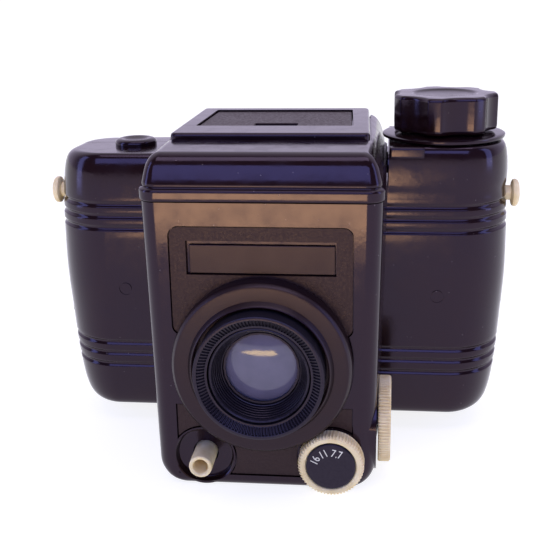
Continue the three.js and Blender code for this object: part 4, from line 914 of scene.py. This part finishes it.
@operator("finder", "Finder")
def model_finder(context):
    """Model the pop-up finder with its leather-grained panel"""
    sizes = context.scene.box_camera_sizes
    lid = finder_block(0, 0, 87.5, 89.9)
    top = [e for e in lid.edges if all(v.co.z > 89.8 for v in e.verts)]
    bevel(lid, top, 0.9, 5)
    pocket = (-5.9, 5.9, -15.8, -8.3)
    panel_seat = finder_panel(0.3, 88.3, 95)
    frame_shape = combine(
        lid,
        join(finder_block(0, 3.6, 69.9, 88.0)),
        cut(finder_block(-1.4, 3.6, 65, 87.5)),
        cut(panel_seat),
        cut(block(-15, 15, -28, -20, 73.1, 85.9)),
        cut(block(-6, 6, 10, 18, 74.5, 84.5)),
        cut(block(*pocket, 88, 95)),
    )
    make_piece(
        "finder_frame", frame_shape, "finder", "polished", ["finder_housing"], keep_normals=True
    )
    leather = combine(finder_panel(0, 88.6, 89.4), cut(block(*pocket, 60, 100)))
    make_piece("finder_leather", leather, "finder", "grained", ["finder_panel"], edge=sizes.edge)


# ---------- Front face ----------


@operator("front", "Front Panel")
def model_front(context):
    """Model the grained front panel and its bare nameplate"""
    sizes = context.scene.box_camera_sizes
    low, high = span("front_panel")
    plate_low, plate_high = span("nameplate")
    panel = combine(
        panel_shape(0, low.y, high.y),
        cut(rod("y", 0, LENS.z, -60, -40, 19, 96)),
        cut(block(-18.6, 18.6, -60, -40, plate_low.z - 0.3, 67.0)),
    )
    make_piece("grained_front", panel, "body", "grained", ["front_panel"], edge=0.00012)
    plate = block(plate_low.x, plate_high.x, plate_low.y, plate_high.y, plate_low.z, plate_high.z)
    make_piece("bare_plate", plate, "body", "satin", ["nameplate"], edge=sizes.edge)


def make_knurled_ring(x, z):
    """The ring round the lens, with fine ribs on its sloping inner face."""
    front = RING_FRONT
    profile = [
        (12.9, -52.3), (16.3, -52.3), (16.3, front + 0.45), (16.2, front + 0.15), (15.95, front),
        (15.42, front), (15.3, front + 0.08), (15.2, front + 0.15), (13.6, front + 1.25),
        (13.45, front + 1.4), (13.25, front + 1.5), (12.9, front + 1.5),
    ]
    columns = 440
    ring = lathe("y", x, z, profile, columns)
    for vert in ring.verts:
        radius = math.hypot(vert.co.x - x, vert.co.z - z)
        sloping = 13.5 < radius < 15.25 and vert.co.y < front + 1.3
        turn = round(math.atan2(vert.co.z - z, vert.co.x - x) / (2 * math.pi) * columns)
        if sloping and turn % 4 >= 2:
            vert.co.y += 0.55
    make_piece("knurled_ring", ring, "body", "enamel", ["lens_ring"])


def make_barrel(x, z):
    """The barrel with its light-stopping steps."""
    front = RING_FRONT + 1.9
    throat, mouth, deep = 9.9, 11.8, 53.2
    profile = [(8.6, -46.2), (8.6, -50.7), (throat, -50.7), (throat, -deep)]
    steps = 6
    rise = (mouth - throat) / steps
    run = (deep + front + 0.6) / -steps
    for i in range(steps):
        y = -deep - i * abs(run)
        radius = throat + (i + 1) * rise
        profile += [(radius - 0.12, y - 0.12), (radius, y + 0.1), (radius, y - abs(run) + 0.1),
                    (radius + 0.06, y - abs(run))]
    profile += [
        (12.0, front + 0.25), (12.35, front), (12.55, front + 0.1), (12.6, front + 0.4),
        (12.6, -46.2),
    ]
    make_piece(
        "stepped_barrel", lathe("y", x, z, profile, 96), "body", "enamel", ["lens_barrel"]
    )


@operator("lens", "Lens")
def model_lens(context):
    """Model the lens surround, the knurled ring, the stepped barrel and the glass"""
    x, z = LENS.x, LENS.z
    surround = [
        (12.9, -48.7), (18.7, -48.7), (18.7, -49.9), (22.8, -49.9), (22.8, -52.8), (22.55, -53.7),
        (21.9, -54.35), (21.2, -54.5), (18.35, -54.5), (17.75, -55.5), (17.5, -55.9), (17.3, -56.0),
        (17.05, -55.9), (17.0, -55.6), (17.0, -52), (12.9, -52),
    ]
    make_piece(
        "surround_disc", lathe("y", x, z, surround, 128), "body", "satin", ["lens_surround"]
    )
    make_knurled_ring(x, z)
    make_barrel(x, z)
    pole, full, bulge = -52.9, 9.6, 1.5
    glass = [(0, pole)]
    glass += [(r, pole + bulge * (r / full) ** 2) for r in (1.6, 3.2, 4.8, 6.4, 7.7, 8.7, 9.4)]
    glass += [(full, -51.3), (full, -51.02), (0, -51.02)]
    make_piece("front_glass", lathe("y", x, z, glass, 96), "body", "lens", ["lens_glass"])


# Name, text, place right of and above the dial's middle in millimetres, and lean to the left in degrees.
NUMBERS = (
    ("sixteen", "16", (-3.9, 1.7), 64),
    ("eleven", "11", (-1.8, 3.5), 27),
    ("seven", "7.7", (1.5, 3.6), -13),
)


def make_number(name, text, offset, lean, face, height):
    """A narrow number on the dial's face, at an offset from its middle and leaning to the left."""
    curve = bpy.data.curves.new(name, "FONT")
    curve.body = text
    curve.size = height
    curve.align_x = "CENTER"
    curve.align_y = "CENTER"
    curve.extrude = 0.00002
    source = bpy.data.objects.new(name + "_text", curve)
    bpy.context.scene.collection.objects.link(source)
    bpy.context.view_layer.update()
    mesh = bpy.data.meshes.new_from_object(source)
    bpy.data.objects.remove(source)
    bpy.data.curves.remove(curve)
    place = Vector((DIAL.x + offset[0], face - 0.03, DIAL.z + offset[1])) * MM
    narrow = Matrix.Diagonal((0.8, 1, 1, 1))
    upright = Matrix.Rotation(math.pi / 2, 4, "X")
    leaning = Matrix.Rotation(math.radians(-lean), 4, "Y")
    mesh.transform(Matrix.Translation(place) @ leaning @ upright @ narrow)
    number = bpy.data.objects.new(name, mesh)
    bpy.context.scene.collection.objects.link(number)
    mesh.materials.append(finish("numeral"))
    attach(number, "stop_dial")


def make_marks():
    """Generic index bars and dots moulded on the surround's lower edge."""
    marks = bmesh.new()
    for i in range(5):
        made = bmesh.ops.create_cube(marks, size=1.0)["verts"]
        bmesh.ops.scale(marks, vec=(0.35, 0.3, 1.5), verts=made)
        bmesh.ops.translate(marks, vec=(7.3 + 1.1 * i, -54.1, 15.8 + 0.35 * i), verts=made)
    for x in (1.8, 4.9):
        made = bmesh.ops.create_icosphere(marks, subdivisions=2, radius=0.45)["verts"]
        bmesh.ops.translate(marks, vec=(x, -54.0, 13.9 + 0.02 * x * x), verts=made)
    make_piece("index_marks", marks, "body", "polished", keep_normals=True)


@operator("stop_dial", "Aperture Dial")
def model_stop_dial(context):
    """Model the aperture dial with its numbers and the index marks beside it"""
    sizes = context.scene.box_camera_sizes
    x, z = DIAL.x, DIAL.z
    low, high = span("dial_ring")
    front, rear = low.y, high.y
    teeth = 60
    profile = [
        (6.5, rear), (8.5, rear), (8.5, rear - 0.3), (8.5, front + 0.75), (8.15, front + 0.2),
        (7.7, front), (6.8, front), (6.6, front + 0.12), (6.5, front + 0.3),
    ]
    rim = lathe("y", x, z, profile, teeth * 4)
    toothed = [(8.5, rear - 0.3), (8.5, front + 0.75), (8.15, front + 0.2)]
    cut_teeth(rim, "y", x, z, teeth, 4, 0.32, toothed)
    hub = lathe("y", x, z, [(1.65, rear), (6.55, rear), (6.55, front + 1), (1.65, front + 1)], 64)
    rim = combine(rim, join(hub))
    make_piece("dial_rim", rim, "stop_dial", "ivory", ["dial_ring"])
    face_low, face_high = span("dial_face")
    face = [(0, face_low.y), (5.9, face_low.y), (6.15, face_low.y + 0.08), (6.3, face_low.y + 0.25),
            (6.3, face_high.y), (0, face_high.y)]
    make_piece("dial_plate", lathe("y", x, z, face, 72), "stop_dial", "enamel", ["dial_face"])
    for name, text, offset, lean in NUMBERS:
        make_number(f"number_{name}", text, offset, lean, face_low.y, sizes.numeral)
    make_marks()


# ---------- Controls ----------


@operator("controls", "Release and Speed Wheel")
def model_controls(context):
    """Model the release tube and the toothed speed wheel"""
    sizes = context.scene.box_camera_sizes
    low, high = span("release_button")
    tube = [
        (0, low.y + 7), (1.75, low.y + 7), (1.9, low.y + 6.8), (1.9, low.y + 0.5), (2.1, low.y + 0.12),
        (2.3, low.y), (2.75, low.y), (2.95, low.y + 0.18), (3.0, low.y + 0.5), (3.0, FRONT + 5.4),
        (2.8, FRONT + 5.6), (1.4, FRONT + 5.6), (1.4, high.y), (0, high.y),
    ]
    shape = lathe("y", RELEASE.x, RELEASE.z, tube, 64)
    make_piece("release_tube", shape, "release", "ivory", ["release_button"])
    inner, outer = span("speed_wheel")
    x0, x1 = inner.x, outer.x
    profile = [
        (2.2, x0), (11.2, x0), (11.5, x0 + 0.3), (11.5, x1 - 0.45), (11.05, x1), (9.6, x1),
        (9.3, x1 - 0.35), (4.2, x1 - 0.45), (3.9, x1 - 0.1), (3.5, x1), (2.2, x1),
    ]
    wheel = lathe("x", WHEEL.y, WHEEL.z, profile, sizes.teeth * 4)
    toothed = [(11.5, x0 + 0.3), (11.5, x1 - 0.45), (11.2, x0), (11.05, x1)]
    cut_teeth(wheel, "x", WHEEL.y, WHEEL.z, sizes.teeth, 4, 0.4, toothed)
    make_piece("speed_disc", wheel, "speed", "ivory", ["speed_wheel"])


KNOB_FULL = 14.6
FLUTES = 7
FLUTE_TURN = 77.1


def fluted_radius(off):
    """Radius of the knob's outline at an angle from the nearest flute's middle."""
    reach, cutter = 22.7, 10.0
    root = cutter**2 - (reach * math.sin(off)) ** 2
    if root <= 0:
        return KNOB_FULL
    depth = KNOB_FULL - (reach * math.cos(off) - math.sqrt(root))
    if depth <= 0:
        return KNOB_FULL
    return KNOB_FULL - depth * depth / (depth + 0.12)


@operator("knob", "Winding Knob")
def model_knob(context):
    """Model the fluted winding knob and the skirt under it"""
    x, y = KNOB.x, KNOB.y
    profile = [
        (2.75, 86.4), (13.4, 86.4), (13.9, 86.5), (14.35, 86.85), (14.55, 87.3), (KNOB_FULL, 87.9),
        (KNOB_FULL, 95.4), (14.52, 95.9), (14.3, 96.2), (13.95, 96.42), (13.5, 96.5), (9.4, 96.5),
        (8.7, 96.4), (8.3, 96.15), (7.7, 95.9), (5, 95.65), (2.5, 95.55), (0, 95.5), (0, 92.5),
        (2.75, 92.5),
    ]
    knob = lathe("z", x, y, profile, 252)
    pitch = 360 / FLUTES
    for vert in knob.verts:
        across, along = vert.co.x - x, vert.co.y - y
        radius = math.hypot(across, along)
        if radius < 10:
            continue
        turn = math.degrees(math.atan2(along, across)) + FLUTE_TURN
        off = math.radians((turn + pitch / 2) % pitch - pitch / 2)
        share = min((radius - 10) / 2.6, 1.0)
        new = radius - share * (KNOB_FULL - fluted_radius(abs(off)))
        vert.co.x, vert.co.y = x + across * new / radius, y + along * new / radius
    make_piece("fluted_knob", knob, "winding", "polished", ["winding_knob"], sharp=40)
    low, high = span("knob_skirt")
    skirt = [
        (2.75, low.z), (16.4, low.z), (16.85, low.z + 0.2), (17.0, low.z + 0.55), (16.95, low.z + 0.95),
        (16.6, low.z + 1.15), (15.9, low.z + 1.28), (11, high.z - 0.02), (2.75, high.z),
    ]
    make_piece("knob_disc", lathe("z", x, y, skirt, 128), "winding", "polished", ["knob_skirt"])


@operator("lugs", "Strap Lugs")
def model_lugs(context):
    """Model the two strap lugs on the drums' sides"""
    for name, node, side in (("lug_left", "strap_lug_left", -1), ("lug_right", "strap_lug_right", 1)):
        low, high = span(node)
        z = (low.z + high.z) / 2
        tip = max(abs(low.x), abs(high.x))
        wall = tip - 3.6
        profile = [
            (0, 59.3), (3.1, 59.3), (3.1, 60.3), (2.1, 60.3), (2.1, wall + 1.05),
            (2.6, wall + 1.15), (3.3, wall + 1.3), (3.75, wall + 1.6), (3.9, wall + 2.1),
            (3.8, wall + 2.6), (3.45, wall + 3.0), (2.7, wall + 3.35), (1.5, wall + 3.55),
            (0, wall + 3.6),
        ]
        lug = lathe("x", 0, z, [(r, side * p) for r, p in profile], 64)
        make_piece(name, lug, "body", "ivory", [node])


# ---------- Pieces carried over from the frame ----------

NODE_FINISHES = {
    "enamel": [
        "cover_latch", "window_shutter", "finder_catch", "lens_retainer", "dial_shaft", "speed_shaft",
    ],
    "matt": [
        "light_cone", "stop_plate", "shutter_blade", "shutter_plate", "pressure_plate",
        "take_up_spool",
    ],
    "steel": [
        "cover_hinge_pin", "pressure_spring_upper", "pressure_spring_lower", "finder_spring_left",
        "finder_spring_right", "winding_shaft", "ratchet_wheel", "click_spring", "spool_pin_right",
        "spool_pin_left_lower", "spool_pin_left_upper", "release_spring", "spring_bracket", "plate_screw_1",
        "plate_screw_2", "plate_screw_3",
    ],
    "brass": ["tripod_bush"],
    "window": ["finder_front_lens", "finder_eyepiece"],
    "ruby": ["red_window"],
}


@operator("frame_finishes", "Frame Finishes")
def give_frame_finishes(context):
    """Give every piece of the frame its finish"""
    chosen = {node: name for name, nodes in NODE_FINISHES.items() for node in nodes}
    for node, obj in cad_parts.items():
        material = finish(chosen.get(node, "polished"))
        for slot in obj.material_slots:
            slot.material = material


# ---------- Stage ----------


def make_floor(context):
    """A wide pale floor at the object's base."""
    bm = bmesh.new()
    bmesh.ops.create_grid(bm, x_segments=1, y_segments=1, size=12.0)
    mesh = bpy.data.meshes.new("floor")
    bm.to_mesh(mesh)
    bm.free()
    floor = bpy.data.objects.new("floor", mesh)
    context.scene.collection.objects.link(floor)
    material, tree, shader, place = new_finish("pale_floor", context.scene.box_camera_colours.floor)
    paper = add(tree, "ShaderNodeTexNoise", {"Vector": place, "Scale": 0.01, "Detail": 3.0})
    pale = context.scene.box_camera_colours.floor
    tone = mixed(tree, paper.outputs["Fac"], pale, tuple(c * 0.97 for c in pale))
    tree.links.new(tone, shader.inputs["Base Color"])
    shader.inputs["Roughness"].default_value = 0.9
    shader.inputs["Emission Color"].default_value = (1, 1, 1, 1)
    shader.inputs["Emission Strength"].default_value = 0.84
    mesh.materials.append(material)


def make_world(context):
    """A dark room in front, a soft lavender wall behind and bright light high over the back."""
    world = bpy.data.worlds.new("studio")
    world.use_nodes = True
    context.scene.world = world
    tree = world.node_tree
    tree.nodes.clear()
    coords = add(tree, "ShaderNodeTexCoord").outputs["Generated"]
    parts = add(tree, "ShaderNodeSeparateXYZ", {"Vector": coords}).outputs
    behind = spread(tree, parts["Y"], -0.15, 0.35, 0.0, 1.0)
    high = spread(tree, parts["Z"], 0.45, 0.75, 0.0, 1.0)
    both = add(tree, "ShaderNodeMath", {0: behind, 1: high}, operation="MULTIPLY").outputs["Value"]
    tone = mixed(tree, behind, (0.1, 0.08, 0.14), (0.85, 0.77, 1.02))
    tone = mixed(tree, both, tone, (1.1, 1.05, 1.2))
    shade = add(tree, "ShaderNodeBackground", {"Color": tone, "Strength": 1.0})
    add(tree, "ShaderNodeOutputWorld", {"Surface": shade.outputs["Background"]})


def make_light(name, place, aim, size, tint, power):
    """A soft rectangular light that points at the aim."""
    data = bpy.data.lights.new(name, "AREA")
    data.shape = "RECTANGLE"
    data.size, data.size_y = size
    data.energy = power
    data.color = tint
    light = bpy.data.objects.new(name, data)
    light.visible_camera = False
    light.location = place
    light.rotation_euler = (Vector(aim) - Vector(place)).to_track_quat("-Z", "Y").to_euler()
    bpy.context.scene.collection.objects.link(light)


def make_camera(context):
    """The viewing camera, a little above and to the right of the lens."""
    data = bpy.data.cameras.new("view")
    data.sensor_width = 36.0
    data.lens = 64.16
    data.shift_x = 0.0057
    data.shift_y = -0.0014
    data.clip_start = 0.01
    view = bpy.data.objects.new("view", data)
    yaw, pitch, roll = (math.radians(a) for a in (-6.51, -17.75, -1.01))
    ahead = Vector((math.sin(yaw) * math.cos(pitch), math.cos(yaw) * math.cos(pitch), math.sin(pitch)))
    level = Vector((math.cos(yaw), -math.sin(yaw), 0))
    up = level.cross(ahead)
    right = level * math.cos(roll) + up * math.sin(roll)
    top = up * math.cos(roll) - level * math.sin(roll)
    axes = Matrix((right, top, -ahead)).transposed().to_4x4()
    view.matrix_world = Matrix.Translation((0.03042, -0.28181, 0.13231)) @ axes
    context.scene.collection.objects.link(view)
    context.scene.camera = view


@operator("stage", "Stage")
def set_stage(context):
    """Set up the floor, the lights and the camera"""
    lights = context.scene.box_camera_lights
    make_floor(context)
    make_world(context)
    # Name, place, aim, size, tint and power of each light.
    sky, card, lilac = lights.sky, lights.card, (0.88, 0.82, 1.0)
    middle_low, strip = (0, -0.03, 0.05), (0.16, 0.5)
    table = (
        ("front_sky", (0, -1.04, 0.62), (0, 0, 0.08), (1.5, 0.5), sky, lights.sky_power),
        ("warm_card", (-0.042, -0.43, 0.001), (-0.042, -0.43, 1), (0.17, 0.28), card,
         lights.card_power),
        ("overhead", (0.1, -0.3, 1.1), (0, 0, 0.05), (1.1, 0.4), lilac, 3.6),
        ("left_strip", (-0.6, -0.16, 0.24), middle_low, strip, sky, 0.9),
        ("right_strip", (0.6, -0.1, 0.24), middle_low, strip, sky, 0.8),
    )
    for row in table:
        make_light(*row)
    make_camera(context)
    context.scene.view_settings.view_transform = "Standard"
    context.scene.view_settings.look = "None"


# ---------- Add-on ----------

STEPS = (
    set_stage,
    give_frame_finishes,
    model_shell,
    model_hood,
    model_finder,
    model_front,
    model_lens,
    model_stop_dial,
    model_controls,
    model_knob,
    model_lugs,
)


class BOXCAMERA_PT_panel(bpy.types.Panel):
    """Sizes, colours and steps of the box camera"""

    bl_idname = "BOXCAMERA_PT_panel"
    bl_label = "Box Camera"
    bl_space_type = "VIEW_3D"
    bl_region_type = "UI"
    bl_category = "Box Camera"

    def draw(self, context):
        for group in ("box_camera_sizes", "box_camera_colours", "box_camera_lights"):
            settings = getattr(context.scene, group)
            box = self.layout.box()
            for name in settings.__annotations__:
                box.prop(settings, name)
        for step in STEPS:
            self.layout.operator(step.bl_idname)


GROUPS = {
    "box_camera_sizes": BoxCameraSizes,
    "box_camera_colours": BoxCameraColours,
    "box_camera_lights": BoxCameraLights,
}


def register():
    for group in GROUPS.values():
        bpy.utils.register_class(group)
    for name, group in GROUPS.items():
        setattr(bpy.types.Scene, name, bpy.props.PointerProperty(type=group))
    for kind in (*STEPS, BOXCAMERA_PT_panel):
        bpy.utils.register_class(kind)


def unregister():
    for kind in (BOXCAMERA_PT_panel, *reversed(STEPS)):
        bpy.utils.unregister_class(kind)
    for name, group in GROUPS.items():
        delattr(bpy.types.Scene, name)
        bpy.utils.unregister_class(group)


def main():
    register()
    for step in STEPS:
        name = step.bl_idname.split(".")[1]
        getattr(bpy.ops.box_camera, name)()


if __name__ == "__main__":
    main()
